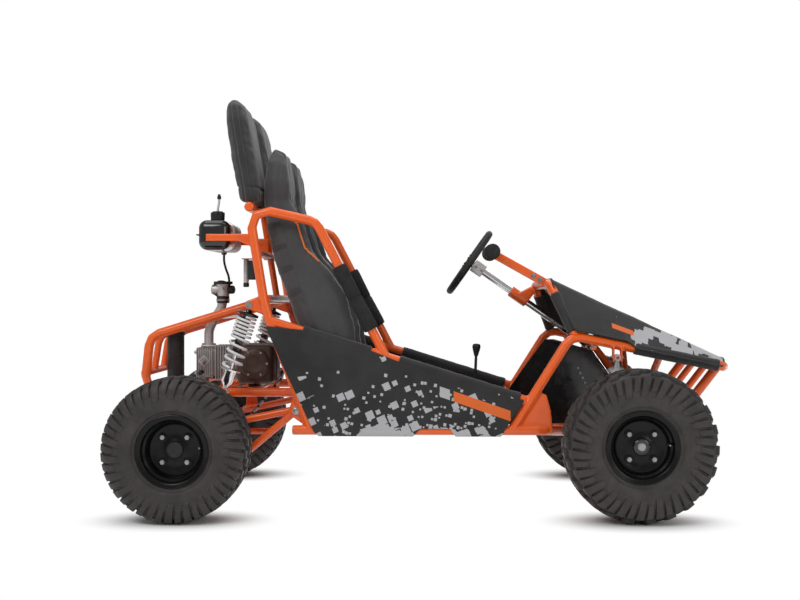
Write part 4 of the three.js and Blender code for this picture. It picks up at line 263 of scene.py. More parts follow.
def band(graph, along, across, start, end, low, high):
    """1 inside a slanted rectangle of the side view, else 0."""
    parts = [graph.math("GREATER_THAN", along, start), graph.math("LESS_THAN", along, end),
             graph.math("GREATER_THAN", across, low), graph.math("LESS_THAN", across, high)]
    mask = parts[0]
    for part in parts[1:]:
        mask = graph.math("MULTIPLY", mask, part)
    return mask


RAIL_SLOPE = 0.345


def side_print(graph, base):
    """Side panel's print: chips rising from the sill, a grey sill patch and a slanted orange stripe."""
    x, _, z = graph.axes()
    climb = graph.math("ADD", z, graph.math("MULTIPLY", x, RAIL_SLOPE))
    rise = graph.range(z, 0.25, 0.47, 0.72, 0.0)
    fore = graph.range(x, -0.42, -0.05, 0.25, 1.0)
    aft = graph.range(x, 0.05, 0.34, 1.0, 0.12)
    density = graph.math("MULTIPLY", rise, graph.math("MULTIPLY", fore, aft))
    low = graph.math("MULTIPLY", graph.range(z, 0.25, 0.36, 1.0, 0.0), graph.range(x, -0.34, -0.14, 0.0, 1.0))
    printed = patches(graph, base, 0.017, graph.math("MULTIPLY", low, graph.range(x, 0.0, 0.2, 1.0, 0.3)),
                      0.42, 9)
    printed = chips(graph, printed, 0.030, density, 0.42)
    printed = chips(graph, printed, 0.011, graph.math("MULTIPLY", density, 0.45), -0.2)
    orange = band(graph, x, climb, 0.10, 0.285, 0.402, 0.436)
    printed = graph.mix(orange, printed, PRINT_ORANGE)
    grey = band(graph, x, climb, 0.055, 0.088, 0.402, 0.436)
    return graph.mix(grey, printed, PRINT_GREY)


def hood_print(graph, base):
    """Hood's print: the same chips gathering towards the nose, and a short orange bar on each flank."""
    x, y, z = graph.axes()
    density = graph.range(x, 0.62, 1.0, 0.0, 1.0)
    printed = patches(graph, base, 0.019, density, -0.36, 8)
    printed = chips(graph, printed, 0.030, graph.math("MULTIPLY", density, 0.35), -0.36)
    climb = graph.math("ADD", z, graph.math("MULTIPLY", x, 0.37))
    flank = graph.math("GREATER_THAN", graph.away(y), 0.30)
    orange = graph.math("MULTIPLY", flank, band(graph, x, climb, 0.62, 0.69, 0.836, 0.852))
    return graph.mix(orange, printed, PRINT_ORANGE)


def dusty(graph, base):
    """Brown dust where the rubber's noise runs high."""
    dust = graph.range(graph.noise(14, 6, 0.7), 0.45, 0.78, 0, 0.35)
    return graph.mix(dust, base, (0.070, 0.058, 0.051))


ORANGE = (0.96, 0.132, 0.009)
# Frame orange darkened: painted shade for steelwork that sits in shadow, the same paint as the frame
ORANGE_SHADED = (0.62, 0.07, 0.010)

paint_orange = simple("paint_orange", ORANGE, 0.30, coat=0.32, mottle=(18, 0.05), grain=(160, 0.05, 0.0006),
                      spread=0.05)
# Painted shade: the frame's orange paint, darker where a bracket lies in shadow
shaded_orange = simple("shaded_orange", ORANGE_SHADED, 0.35, coat=0.5, mottle=(18, 0.08),
                        grain=(160, 0.05, 0.0006))
panel_cloth = cloth("panel_cloth", CLOTH_BLACK, shade=side_print)
hood_cloth = cloth("hood_cloth", CLOTH_BLACK, shade=hood_print)
sleeve_cloth = cloth("sleeve_cloth", CLOTH_BLACK)
pad_cloth = cloth("pad_cloth", (0.026, 0.025, 0.026), 0.80, 0.4)
seat_cloth = cloth("seat_cloth", (0.050, 0.049, 0.052), 0.78, 0.35, 0.0024)
seat_shell = cloth("seat_shell", (0.034, 0.033, 0.036), 0.82, 0.3)
piping_orange = cloth("piping_orange", (0.80, 0.20, 0.03), 0.6, 0.1)
foam_black = simple("foam_black", (0.021, 0.020, 0.020), 0.92, grain=(900, 0.8, 0.0015), mottle=(25, 0.25))
tyre_rubber = simple("tyre_rubber", (0.036, 0.031, 0.030), 0.58, mottle=(22, 0.3), grain=(500, 0.5, 0.0008),
                     shade=dusty)
RIM_COLOUR = (0.0045, 0.0045, 0.0045)
rim_black = finish_surface(shader("rim_black", RIM_COLOUR, 0.28, specular=0.22), RIM_COLOUR, 0.28,
                           mottle=(20, 0.2),
                           grain=(300, 0.1, 0.0004))
black_steel = simple("black_steel", (0.018, 0.018, 0.019), 0.42, mottle=(30, 0.3), grain=(400, 0.2, 0.0005))
tub_plastic = simple("tub_plastic", (0.010, 0.010, 0.010), 0.26, coat=0.3, mottle=(12, 0.25),
                     grain=(300, 0.12, 0.0005))
gloss_black = simple("gloss_black", (0.008, 0.008, 0.009), 0.14, coat=0.5, mottle=(16, 0.2),
                     grain=(90, 0.06, 0.0006), spread=0.04)
dull_black = simple("dull_black", (0.016, 0.015, 0.015), 0.6, mottle=(30, 0.3), grain=(500, 0.3, 0.0006))
chrome = simple("chrome", (0.72, 0.72, 0.73), 0.16, 1.0, mottle=(40, 0.05), grain=(200, 0.02, 0.0002),
                spread=0.05)
steel = simple("steel", (0.36, 0.355, 0.35), 0.34, 1.0, mottle=(60, 0.15), grain=(500, 0.25, 0.0003))
alloy = simple("alloy", (0.56, 0.55, 0.545), 0.44, 0.45, mottle=(35, 0.12), grain=(420, 0.25, 0.0004))
bronze = simple("bronze", (0.085, 0.052, 0.038), 0.48, 0.35, mottle=(12, 0.25), grain=(420, 0.4, 0.0006))
spring_white = simple("spring_white", (0.80, 0.79, 0.78), 0.28, coat=0.4, mottle=(30, 0.05),
                      grain=(200, 0.08, 0.0004))
pale_tank = simple("pale_tank", (0.62, 0.61, 0.60), 0.4, mottle=(10, 0.05), grain=(300, 0.1, 0.0004))
clear_hose = simple("clear_hose", (0.66, 0.65, 0.62), 0.3, mottle=(30, 0.05), grain=(300, 0.1, 0.0004))


# Mesh helpers
def make(name, points, faces, material, smooth=True):
    mesh = bpy.data.meshes.new(name)
    mesh.from_pydata([tuple(p) for p in points], [], faces)
    mesh.validate()
    mesh.update()
    mesh.materials.append(material)
    piece = bpy.data.objects.new(name, mesh)
    bpy.context.scene.collection.objects.link(piece)
    return all_smooth(piece) if smooth else piece


def apply_modifiers(piece):
    """The piece keeps its modifiers' result as its mesh."""
    graph = bpy.context.evaluated_depsgraph_get()
    graph.update()
    mesh = bpy.data.meshes.new_from_object(piece.evaluated_get(graph))
    piece.modifiers.clear()
    piece.data = mesh
    return piece


def modify(piece, kind, **settings):
    """Applies one modifier with these settings."""
    modifier = piece.modifiers.new(kind.lower(), kind)
    for key, value in settings.items():
        setattr(modifier, key, value)
    return apply_modifiers(piece)


def bevel(piece, width, segments=2, angle=35):
    return modify(piece, "BEVEL", width=width, segments=segments, limit_method="ANGLE",
                  angle_limit=math.radians(angle), harden_normals=False)


def all_smooth(piece):
    faces = piece.data.polygons
    faces.foreach_set("use_smooth", [True] * len(faces))
    return piece


def sharp_smooth(piece, angle=38):
    """Smooth shading that keeps edges sharper than the angle crisp."""
    all_smooth(piece).data.set_sharp_from_angle(angle=math.radians(angle))
    return piece


def basis(axis):
    """Two directions square to the axis, and the axis."""
    axis = Vector(axis).normalized()
    start = UP if abs(axis.z) < 0.9 else Vector((1, 0, 0))
    side = axis.cross(start).normalized()
    return side, side.cross(axis), axis


def ring_faces(rings, steps, capped=True):
    """Quads between rings of points, and a face on either end where it is capped."""
    faces = [(i * steps + k, i * steps + n, (i + 1) * steps + n, (i + 1) * steps + k)
             for i in range(rings - 1) for k, n in zip(range(steps), [*range(1, steps), 0])]
    if capped:
        faces += [tuple(reversed(range(steps))), tuple(range((rings - 1) * steps, rings * steps))]
    return faces


def around(side, rise, turn):
    return side * math.cos(turn) + rise * math.sin(turn)


def revolve(name, profile, origin, axis, material, steps=48, angle=38):
    """Solid of revolution from [radius, distance along the axis] points; its ends close on the axis."""
    side, rise, axis = basis(axis)
    origin = Vector(origin)
    points = []
    for radius, along in profile:
        for k in range(steps):
            turn = 2 * math.pi * k / steps
            points.append(origin + axis * along + around(side, rise, turn) * radius)
    faces = ring_faces(len(profile), steps, profile[0] != profile[-1])
    piece = modify(make(name, points, faces, material), "WELD", merge_threshold=1e-6)
    return sharp_smooth(piece, angle)


def cylinder(name, a, b, radius, material, steps=24, round_edge=0.0):
    a, b = Vector(a), Vector(b)
    length = (b - a).length
    edge = min(round_edge, length / 3, radius / 2)
    profile = [(radius - edge, 0), (radius, edge), (radius, length - edge), (radius - edge, length)]
    if not edge:
        profile = [(radius, 0), (radius, length)]
    return revolve(name, profile, a, b - a, material, steps)


def ring(name, centre, axis, outer, inner, width, material, steps=32):
    half = width / 2
    edge = min((outer - inner) * 0.2, half * 0.4)
    profile = [(inner, -half), (outer - edge, -half), (outer, edge - half), (outer, half - edge),
               (outer - edge, half), (inner, half), (inner, -half)]
    return revolve(name, profile, centre, axis, material, steps)


def sweep(name, route, radius, material, sides=14, closed=False):
    """Round tube along points; radius is one number, or one for each point."""
    route = [Vector(p) for p in route]
    count = len(route)
    radii = radius if isinstance(radius, (list, tuple)) else [radius] * count
    points, faces = [], []
    normal = None
    for i, place in enumerate(route):
        before = route[(i - 1) % count] if closed or i else place
        after = route[(i + 1) % count] if closed or i < count - 1 else place
        along = (after - before).normalized()
        if normal is None:
            normal = basis(along)[0]
        normal = (normal - along * normal.dot(along)).normalized()
        other = along.cross(normal)
        for k in range(sides):
            turn = 2 * math.pi * k / sides
            points.append(place + around(normal, other, turn) * radii[i])
    spans = count if closed else count - 1
    for i in range(spans):
        j = (i + 1) % count
        for k in range(sides):
            n = (k + 1) % sides
            faces.append((i * sides + k, j * sides + k, j * sides + n, i * sides + n))
    if not closed:
        faces.append(tuple(range(sides)))
        faces.append(tuple(reversed(range((count - 1) * sides, count * sides))))
    return make(name, points, faces, material)


def smooth_route(corners, steps=8):
    """Catmull-Rom curve through the corners."""
    corners = [Vector(p) for p in corners]
    padded = [corners[0] * 2 - corners[1], *corners, corners[-1] * 2 - corners[-2]]
    route = []
    for i in range(1, len(padded) - 2):
        p0, p1, p2, p3 = padded[i - 1:i + 3]
        for k in range(steps):
            t = k / steps
            route.append(0.5 * (2 * p1 + (p2 - p0) * t + (2 * p0 - 5 * p1 + 4 * p2 - p3) * t * t
                                + (3 * p1 - p0 - 3 * p2 + p3) * t ** 3))
    route.append(corners[-1])
    return route


def slab(name, centre, size, material, turn=None, edge=0.0015, segments=2):
    """Box with rounded edges, turned about its centre by a matrix."""
    half = Vector(size) / 2
    turn = turn or Matrix.Identity(3)
    points = [Vector(centre) + turn @ Vector((x * half.x, y * half.y, z * half.z))
              for x in (-1, 1) for y in (-1, 1) for z in (-1, 1)]
    faces = [(0, 1, 3, 2), (4, 6, 7, 5), (0, 4, 5, 1), (2, 3, 7, 6), (0, 2, 6, 4), (1, 5, 7, 3)]
    piece = bevel(make(name, points, faces, material), edge, segments)
    return sharp_smooth(piece, 50)


def bolt(name, place, axis, radius, height, material, washer=0.0):
    """Hexagon bolt head standing on the place along the axis, with a washer if asked."""
    side, rise, axis = basis(axis)
    place = Vector(place)
    points = []
    levels = [(0.0, radius), (height * 0.8, radius), (height, radius * 0.82)]
    for along, r in levels:
        for k in range(6):
            turn = math.pi * k / 3
            points.append(place + axis * (along + washer * 0.25) + around(side, rise, turn) * r)
    piece = make(name, points, ring_faces(len(levels), 6), material, smooth=False)
    if not washer:
        return piece
    disc = revolve(name + "_washer", [(radius * 1.35, 0), (radius * 1.35, washer * 0.25)], place, axis,
                   material, 20)
    return merge(name, [piece, disc])


def merge(name, parts):
    """One object of several, each keeping its material."""
    points, faces, picks, smooths, materials = [], [], [], [], []
    for part in parts:
        mesh = part.data
        base = len(points)
        points += [part.matrix_world @ v.co for v in mesh.vertices]
        slots = []
        for material in mesh.materials:
            if material not in materials:
                materials.append(material)
            slots.append(materials.index(material))
        for face in mesh.polygons:
            faces.append(tuple(base + v for v in face.vertices))
            picks.append(slots[face.material_index] if slots else 0)
            smooths.append(face.use_smooth)
        bpy.data.objects.remove(part)
    mesh = bpy.data.meshes.new(name)
    mesh.from_pydata([tuple(p) for p in points], [], faces)
    for material in materials:
        mesh.materials.append(material)
    mesh.polygons.foreach_set("material_index", picks)
    mesh.polygons.foreach_set("use_smooth", smooths)
    mesh.update()
    whole = bpy.data.objects.new(name, mesh)
    bpy.context.scene.collection.objects.link(whole)
    return sharp_smooth(whole, 40)


def copy_node(name, node, material):
    source = nodes[node]
    mesh = source.data.copy()
    mesh.materials.clear()
    mesh.materials.append(material)
    mesh.polygons.foreach_set("material_index", [0] * len(mesh.polygons))
    piece = bpy.data.objects.new(name, mesh)
    bpy.context.scene.collection.objects.link(piece)
    return piece


def remesh(piece, voxel):
    return modify(piece, "REMESH", mode="VOXEL", voxel_size=voxel)


def relax(piece, rounds):
    return modify(piece, "SMOOTH", factor=0.5, iterations=rounds)


def read(mesh, field):
    values = np.empty(len(mesh.vertices) * 3)
    mesh.vertices.foreach_get(field, values)
    return values.reshape(-1, 3)


def write(mesh, places):
    mesh.vertices.foreach_set("co", places.ravel())
    mesh.update()


def grow(piece, distance):
    """Moves every point out along its normal."""
    write(piece.data, read(piece.data, "co") + read(piece.data, "normal") * distance)
    return piece


def dress(piece, body, slot, *replaced):
    """Rides the piece on its body and hides the nodes that it stands for; the slot is not used."""
    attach(piece, body)
    if replaced:
        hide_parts(*replaced)
    return piece


# Finer remesh for small forged and welded pieces
FINE = {"voxel": 0.0018, "rounds": 4, "swell": 0.0003}


def welded(name, node, body, material, slot="frame_paint", voxel=0.0028, rounds=7, swell=0.0006):
    """A tube frame with round sections and weld fillets, from the faceted node."""
    piece = grow(relax(remesh(copy_node(name, node, material), voxel), rounds), swell)
    return dress(all_smooth(piece), body, slot, node)


# Frame, arms and other painted steelwork
def add_frames():
    welded("rear_frame_paint", "frame_rear", "chassis", paint_orange)
    welded("front_frame_paint", "frame_front", "chassis", paint_orange)
    welded("swing_arm_paint", "swing_arm", "swing_arm", paint_orange)
    for name, _ in SIDES:
        welded(f"side_frame_{name}_paint", f"frame_side_{name}", "chassis", paint_orange)
        for arm in ("lower_arm", "upper_arm", "upright"):
            node = f"{arm}_{name}"
            welded(node + "_paint", node, node, paint_orange, **FINE)


# Wheels
BEAD_R = 101.6 * MM
FLANGE_R = 114.5 * MM
TREAD_DEPTH = 12 * MM
PITCHES = 22
TYRE_STEPS = 88
# The tyre's hollow, as a share of its outside
HOLLOW = 0.93
LUG_SPANS = 5
LUG_ROOT = 1.5 * MM
LUG_EDGE = 1.4 * MM
LUG_TAPER = 0.04
LUG_END_TAPER = 0.10
RIB_HALF = 0.02
RIB_AT = 0.745
RIB_RISE = 1.2 * MM
DISC_SET = 38 * MM
RIM_HALF = {"front": 70 * MM, "rear": 96 * MM}
# Half of the carcass, bead to crown: [share of the half width, share of the way from bead to tread base]
CARCASS_SHARES = [(0.80, 0.00), (0.84, 0.10), (0.92, 0.24), (0.96, 0.42), (0.96, 0.58), (0.93, 0.75),
                  (0.875, 0.88), (0.78, 0.955), (0.55, 0.985), (0.28, 0.997), (0.0, 1.0)]


class Carcass:
    """The tyre's cross section: place and outward direction at u, from -1 at one bead to 1 at the other."""

    def __init__(self, radius, half, rim_half):
        base = radius - TREAD_DEPTH
        start = BEAD_R + 0.5 * MM
        half_route = [Vector((share * half, start + (base - start) * reach))
                      for share, reach in CARCASS_SHARES]
        half_route[0] = Vector((rim_half - 4 * MM, start))
        half_route[1] = Vector((rim_half + 1.5 * MM, FLANGE_R + 6 * MM))
        mirrored = [Vector((-p.x, p.y)) for p in half_route[:-1]]
        corners = [Vector((p.x, p.y, 0)) for p in mirrored + half_route[::-1]]
        self.route = smooth_route(corners, 7)
        lengths = [0.0]
        for a, b in zip(self.route, self.route[1:]):
            lengths.append(lengths[-1] + (b - a).length)
        self.shares = [2 * length / lengths[-1] - 1 for length in lengths]

    def at(self, u):
        i = max(j for j in range(len(self.shares) - 1) if self.shares[j] <= u or j == 0)
        t = (u - self.shares[i]) / (self.shares[i + 1] - self.shares[i])
        a, b = self.route[i], self.route[i + 1]
        along = (b - a).normalized()
        return a.lerp(b, t), Vector((-along.y, along.x, 0))


def tread_blocks():
    """Lugs of one pitch: [from u, to u, start, end and skew as shares of the pitch, rise at each end]."""
    blocks = []
    for side in (-1, 1):
        late = 0 if side < 0 else 0.5
        blocks.append((side * 0.015, side * 0.17, late + 0.02, late + 0.50, 0.22, 1.0, 1.0))
        blocks.append((side * 0.19, side * 0.33, late + 0.50, late + 0.98, 0.16, 1.0, 1.0))
        blocks.append((side * 0.36, side * 0.71, late + 0.04, late + 0.50, 0.26, 1.0, 0.30))
        blocks.append((side * 0.38, side * 0.62, late + 0.58, late + 0.97, 0.18, 0.95, 0.34))
    return blocks


def add_tyre(end, name):
    node = f"{end}_{name}_tyre"
    low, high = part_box(node)
    centre = (low + high) / 2
    radius = (high.x - low.x) / 2
    carcass = Carcass(radius, (high.y - low.y) / 2, RIM_HALF[end])
    count = len(carcass.route)
    points, faces = [], []

    def place(y, r, turn):
        return centre + Vector((r * math.cos(turn), y, r * math.sin(turn)))

    rib = [RIB_RISE * max(0.0, 1 - abs(abs(u) - RIB_AT) / RIB_HALF) for u in carcass.shares]
    turns = [2 * math.pi * k / TYRE_STEPS for k in range(TYRE_STEPS)]
    for turn in turns:
        points += [place(p.x + math.copysign(rise, p.x), p.y, turn) for p, rise in zip(carcass.route, rib)]
    inner = len(points)
    for turn in turns:
        points += [place(p.x * HOLLOW, BEAD_R + (p.y - BEAD_R) * HOLLOW + 0.2 * MM, turn)
                   for p in carcass.route]
    for k in range(TYRE_STEPS):
        n = (k + 1) % TYRE_STEPS
        for i in range(count - 1):
            faces.append((k * count + i, k * count + i + 1, n * count + i + 1, n * count + i))
            faces.append((inner + k * count + i, inner + n * count + i, inner + n * count + i + 1,
                          inner + k * count + i + 1))
        for i in (0, count - 1):
            edge = (k * count + i, n * count + i, inner + n * count + i, inner + k * count + i)
            faces.append(edge if i == 0 else edge[::-1])
    body = make(node + "_carcass", points, faces, tyre_rubber)
    return merge(node + "_rubber", [body, add_lugs(node, carcass, place)])


def add_lugs(node, carcass, place):
    """Tread lugs over the carcass, each a loft of quads from its root to its tapered top."""
    points, faces = [], []
    pitch = 2 * math.pi / PITCHES
    inset = LUG_TAPER * pitch
    for turn_index in range(PITCHES):
        for u0, u1, start, end, skew, rise0, rise1 in tread_blocks():
            base = len(points)
            for k in range(LUG_SPANS + 1):
                share = k / LUG_SPANS
                u = u0 + (u1 - u0) * share
                height = TREAD_DEPTH * (rise0 + (rise1 - rise0) * share)
                spot, out = carcass.at(u)
                inward = {0: 1, LUG_SPANS: -1}.get(k, 0)
                top_spot, top_out = carcass.at(u + inward * LUG_END_TAPER * (u1 - u0))
                t0 = (turn_index + start + skew * share) * pitch
                t1 = (turn_index + end + skew * share) * pitch
                low = spot - out * LUG_ROOT
                high = top_spot + top_out * height
                points += [place(low.x, low.y, t0), place(low.x, low.y, t1),
                           place(high.x, high.y, t1 - inset), place(high.x, high.y, t0 + inset)]
            for k in range(LUG_SPANS):
                a, b = base + 4 * k, base + 4 * (k + 1)
                for j in range(4):
                    n = (j + 1) % 4
                    faces.append((a + j, b + j, b + n, a + n))
            faces.append((base, base + 1, base + 2, base + 3))
            last = base + 4 * LUG_SPANS
            faces.append((last + 3, last + 2, last + 1, last))
    piece = make(node + "_lugs", points, faces, tyre_rubber, smooth=False)
    outward_faces(piece)
    return bevel(piece, LUG_EDGE, 2, 40)


def outward_faces(piece):
    """Turns every face of a closed piece outward."""
    work = bmesh.new()
    work.from_mesh(piece.data)
    bmesh.ops.recalc_face_normals(work, faces=work.faces)
    work.to_mesh(piece.data)
    work.free()
    return piece


def rim_profile(w):
    face = DISC_SET
    return [(0.012, face + 0.004), (0.030, face + 0.004), (0.034, face + 0.001), (0.050, face + 0.001),
            (0.068, face + 0.001), (0.073, face + 0.004), (0.079, face + 0.004), (0.0835, face + 0.009),
            (0.0845, face + 0.014), (0.0845, w - 0.024), (0.0875, w - 0.018), (0.0935, w - 0.015),
            (0.0965, w - 0.010), (0.0975, w - 0.002), (0.1005, w + 0.001), (0.107, w + 0.002),
            (0.1125, w + 0.004), (0.1145, w + 0.003), (0.1145, w), (0.1125, w - 0.001), (0.1035, w - 0.002),
            (0.1015, w - 0.005), (0.1012, w - 0.020), (0.0886, w - 0.031), (0.0886, 0.013 - w),
            (0.1012, 0.008 - w), (0.1145, -w), (0.1145, -w - 0.003), (0.1125, -w - 0.004),
            (0.0980, 0.002 - w), (0.0840, 0.010 - w), (0.0840, face - 0.006), (0.012, face - 0.004),
            (0.012, face + 0.004)]


NUT_CIRCLE_R = 55 * MM


def add_rim(end, name, side):
    node = f"{end}_{name}_rim"
    low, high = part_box(f"{end}_{name}_tyre")
    centre = (low + high) / 2
    outward = Vector((0, side, 0))
    parts = [revolve(node + "_dish", rim_profile(RIM_HALF[end]), centre, outward, rim_black, 96, 30)]
    face = DISC_SET + 1 * MM
    for k in range(4):
        turn = (k + 0.5) * math.pi / 2
        place = centre + outward * face + Vector((math.cos(turn), 0, math.sin(turn))) * NUT_CIRCLE_R
        seat = revolve(f"{node}_seat_{k}", [(15 * MM, -1 * MM), (14 * MM, 2 * MM), (11 * MM, 2.5 * MM)],
                       place, outward,
                       rim_black, 24)
        nut = bolt(f"{node}_nut_{k}", place + outward * 2 * MM, outward, 9.5 * MM, 10 * MM, steel)
        stud = cylinder(f"{node}_stud_{k}", place, place + outward * 14 * MM, 4.5 * MM, steel, 16)
        parts += [seat, nut, stud]
    if end == "rear":
        cap = [(27 * MM, 0), (27 * MM, 6 * MM), (25 * MM, 10 * MM), (20 * MM, 12 * MM), (12 * MM, 11 * MM),
               (3 * MM, 11 * MM)]
        parts.append(revolve(node + "_cap", cap, centre + outward * face, outward, dull_black, 32))
    else:
        cap = [(28 * MM, 0), (28 * MM, 8 * MM), (25 * MM, 12 * MM), (22 * MM, 13 * MM), (21 * MM, 9 * MM),
               (14 * MM, 9 * MM)]
        parts.append(revolve(node + "_cap", cap, centre + outward * face, outward, gloss_black, 32))
        parts.append(revolve(node + "_plug", [(14 * MM, 8 * MM), (14 * MM, 11 * MM), (12 * MM, 13 * MM),
                                              (3 * MM, 13 * MM)],
                             centre + outward * face, outward, steel, 28))
    valve, lean = centre + Vector((80 * MM, 0, 8 * MM)), Vector((3 * MM, 0, 0))
    for label, start, stop, radius, material in (("valve", 4, 30, 4, dull_black),
                                                 ("valve_tip", 29, 36, 3, steel)):
        foot, tip = (valve + outward * (face + distance * MM) for distance in (start, stop))
        parts.append(cylinder(f"{node}_{label}", foot, tip + lean, radius * MM, material, 14, 1 * MM))
    return merge(node + "_black", parts)


def add_wheels():
    for end in ("front", "rear"):
        for name, side in SIDES:
            body = f"front_wheel_{name}" if end == "front" else "rear_axle"
            dress(add_tyre(end, name), body, "tyre_rubber", f"{end}_{name}_tyre")
            dress(add_rim(end, name, side), body, "wheel_rim_paint", f"{end}_{name}_rim")


# Shock absorbers: lengths are measured down from the upper eye
SHOCKS = {
    "rear": {"length": 298.6, "eye": 14, "eye_half": 12, "seat": 36, "seat_at": 30, "coil": 30, "wire": 4.5,
             "tube": 15, "tube_end": 168, "shaft": 7, "sleeve": 20, "sleeve_long": 56,
             "tight": 6, "wide": 4, "pitch": 12.5},
    "front": {"length": 278.3, "eye": 12, "eye_half": 10, "seat": 27.5, "seat_at": 40, "coil": 22,
              "wire": 3.5,
              "tube": 12, "tube_end": 160, "shaft": 6, "sleeve": 15, "sleeve_long": 44,
              "tight": 3, "wide": 4, "pitch": 11},
}
SEAT_PLATE = 6
SEAT_GAP = 0.3


def shock_axis(end, name):
    top = Vector(joints[f"{end}_shock_swing_{name}"]["pos_m"])
    return top, Vector(joints[f"{end}_shock_slide_{name}"]["axis"]).normalized()


def add_spring(end, name):
    s = SHOCKS[end]
    top, axis = shock_axis(end, name)
    side, rise, _ = basis(axis)
    start = s["seat_at"] + SEAT_PLATE + s["wire"] + SEAT_GAP
    stop = s["length"] - s["eye"] - s["sleeve_long"] - SEAT_PLATE - s["wire"] - SEAT_GAP
    wide_pitch = (stop - start - s["tight"] * s["pitch"]) / s["wide"]
    route = []
    per_turn = 28
    for i in range((s["tight"] + s["wide"]) * per_turn + 1):
        turn = i / per_turn
        down = start + min(turn, s["tight"]) * s["pitch"] + max(turn - s["tight"], 0) * wide_pitch
        angle = 2 * math.pi * turn
        route.append(top + axis * down * MM + around(side, rise, angle) * s["coil"] * MM)
    piece = sweep(f"{end}_{name}_coil", route, s["wire"] * MM, spring_white if end == "rear" else chrome, 12)
    dress(piece, f"{end}_shock_body_{name}", "spring_paint", f"{end}_{name}_spring")
    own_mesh(piece)


def shock_part(name, profile, top, axis, material):
    return revolve(name, [(r * MM, d * MM) for r, d in profile], top, axis, material, 32)


def add_shock(end, name):
    s = SHOCKS[end]
    top, axis = shock_axis(end, name)
    label = f"{end}_{name}_shock"
    seat, plate, tube, run = s["seat_at"], SEAT_PLATE, s["tube"], s["shaft"] + 1
    neck = [(s["eye"] * 0.55, s["eye"] * 0.6), (tube * 0.8, seat - 6), (s["seat"] * 0.9, seat - 2),
            (s["seat"], seat), (s["seat"], seat + plate), (s["seat"] - 3, seat + plate + 1),
            (tube + 1, seat + plate + 1)]
    barrel = [(tube, seat + plate), (tube, s["tube_end"] - 4), (tube - 2, s["tube_end"]),
              (run, s["tube_end"]), (run, seat + plate), (tube, seat + plate)]
    upper = [
        ring(label + "_upper_eye", top, ACROSS, s["eye"] * MM, 5.6 * MM, 2 * s["eye_half"] * MM, alloy),
        shock_part(label + "_neck", neck, top, axis, gloss_black if end == "rear" else alloy),
        shock_part(label + "_tube", barrel, top, axis, gloss_black),
    ]
    dress(merge(label + "_body_dressed", upper), f"{end}_shock_body_{name}", "black_steel",
          f"{end}_{name}_shock_body")
    length, eye = s["length"], s["eye"]
    cup = length - eye - s["sleeve_long"]
    low_eye = top + axis * length * MM
    shaft = [(s["shaft"], s["tube_end"] - 70), (s["shaft"], cup)]
    sleeve = [(s["seat"] * 0.95, cup - plate), (s["seat"] * 0.95, cup - 1), (s["sleeve"] + 1, cup + 1),
              (s["sleeve"], cup + 4), (s["sleeve"], length - eye * 2.4),
              (s["sleeve"] - 3, length - eye * 2.0),
              (eye * 0.6, length - eye * 1.2), (eye * 0.5, length - eye * 0.8)]
    lower = [
        shock_part(label + "_shaft", shaft, top, axis, chrome),
        shock_part(label + "_sleeve", sleeve, top, axis, chrome),
        ring(label + "_lower_eye", low_eye, ACROSS, eye * MM, 8.8 * MM, 2 * s["eye_half"] * MM, alloy),
    ]
    dress(merge(label + "_rod_dressed", lower), f"{end}_shock_rod_{name}", "shock_chrome",
          f"{end}_{name}_shock_rod")


def add_shocks():
    for end in ("front", "rear"):
        for name, _ in SIDES:
            add_spring(end, name)
            add_shock(end, name)


# Controls, engine and driveline: lengths in millimetres from the CAD's own sizes
def mm(*values):
    return Vector([v * MM for v in values])


REAR_AXLE = (-777.2, 228.6)
DRIVE_SHAFT = (-542.2, 425.0)
RACK_X, RACK_Z = 794.8, 234.94
TIE_IN_Y, TIE_OUT_Y, TIE_FALL = 150, 372, 30
ENGINE_Y, ENGINE_Z = -30, 478
SPROCKET_Y = 122
CRANK_X, HEAD_X, INTAKE_X, MOUTH_X = -582.2, -768.2, -762.2, -711.2
GRAB_START = 0.008
CAP_GRIP_R = 19
DASH_FOOT, DASH_TOP = (497.8, 368, 579.4), (425.8, 270, 752)


class Surface:
    """Ray hits on a piece's mesh."""

    def __init__(self, piece):
        mesh = piece.data
        self.tree = BVHTree.FromPolygons([v.co for v in mesh.vertices],
                                         [tuple(p.vertices) for p in mesh.polygons])

    def hit(self, start, direction):
        place, normal, _, _ = self.tree.ray_cast(Vector(start), Vector(direction).normalized())
        return place, normal


def softened(name, node, material, edge=0.0012, segments=2, angle=30):
    """Copy of a node with rounded edges."""
    return sharp_smooth(bevel(copy_node(name, node, material), edge, segments, angle), 40)


def add_grab_bar():
    foot, top = mm(425.8, -190, 752), mm(232.8, -190, 860)
    along = (top - foot).normalized()
    rise = Vector((-along.z, 0, along.x))
    turn = Matrix((along, ACROSS, rise)).transposed()
    reach = (top - foot).length
    bar = slab("grab_bar_flat", foot + along * (GRAB_START + (reach - GRAB_START) / 2),
               (reach - GRAB_START, 0.018, 0.028), paint_orange, turn, 0.003, 3)
    bolts = []
    for number, distance in enumerate((0.030, 0.056)):
        for side in (-1, 1):
            spot = foot + along * distance + ACROSS * side * 0.009
            bolts.append(bolt(f"grab_bar_bolt_{number}_{side + 1}", spot, ACROSS * side, 0.0065, 0.005,
                              steel, 0.005))
    dress(merge("grab_bar_steel", [bar, *bolts]), "chassis", "frame_paint", "grab_bar")
    half, wide = 0.105, 0.026
    profile = [(0.002, 0.0005), (0.012, 0), (wide - 0.006, 0.0004), (wide - 0.002, 0.002), (wide, 0.006),
               (wide + 0.0006, 0.03), (wide - 0.0008, half), (wide + 0.0006, 2 * half - 0.03),
               (wide, 2 * half - 0.006), (wide - 0.002, 2 * half - 0.002), (wide - 0.006, 2 * half - 0.0004),
               (0.012, 2 * half), (0.002, 2 * half - 0.0005)]
    roll = revolve("grab_bar_roll", profile, top - ACROSS * half, ACROSS, foam_black, 40, 50)
    dress(roll, "chassis", "foam")


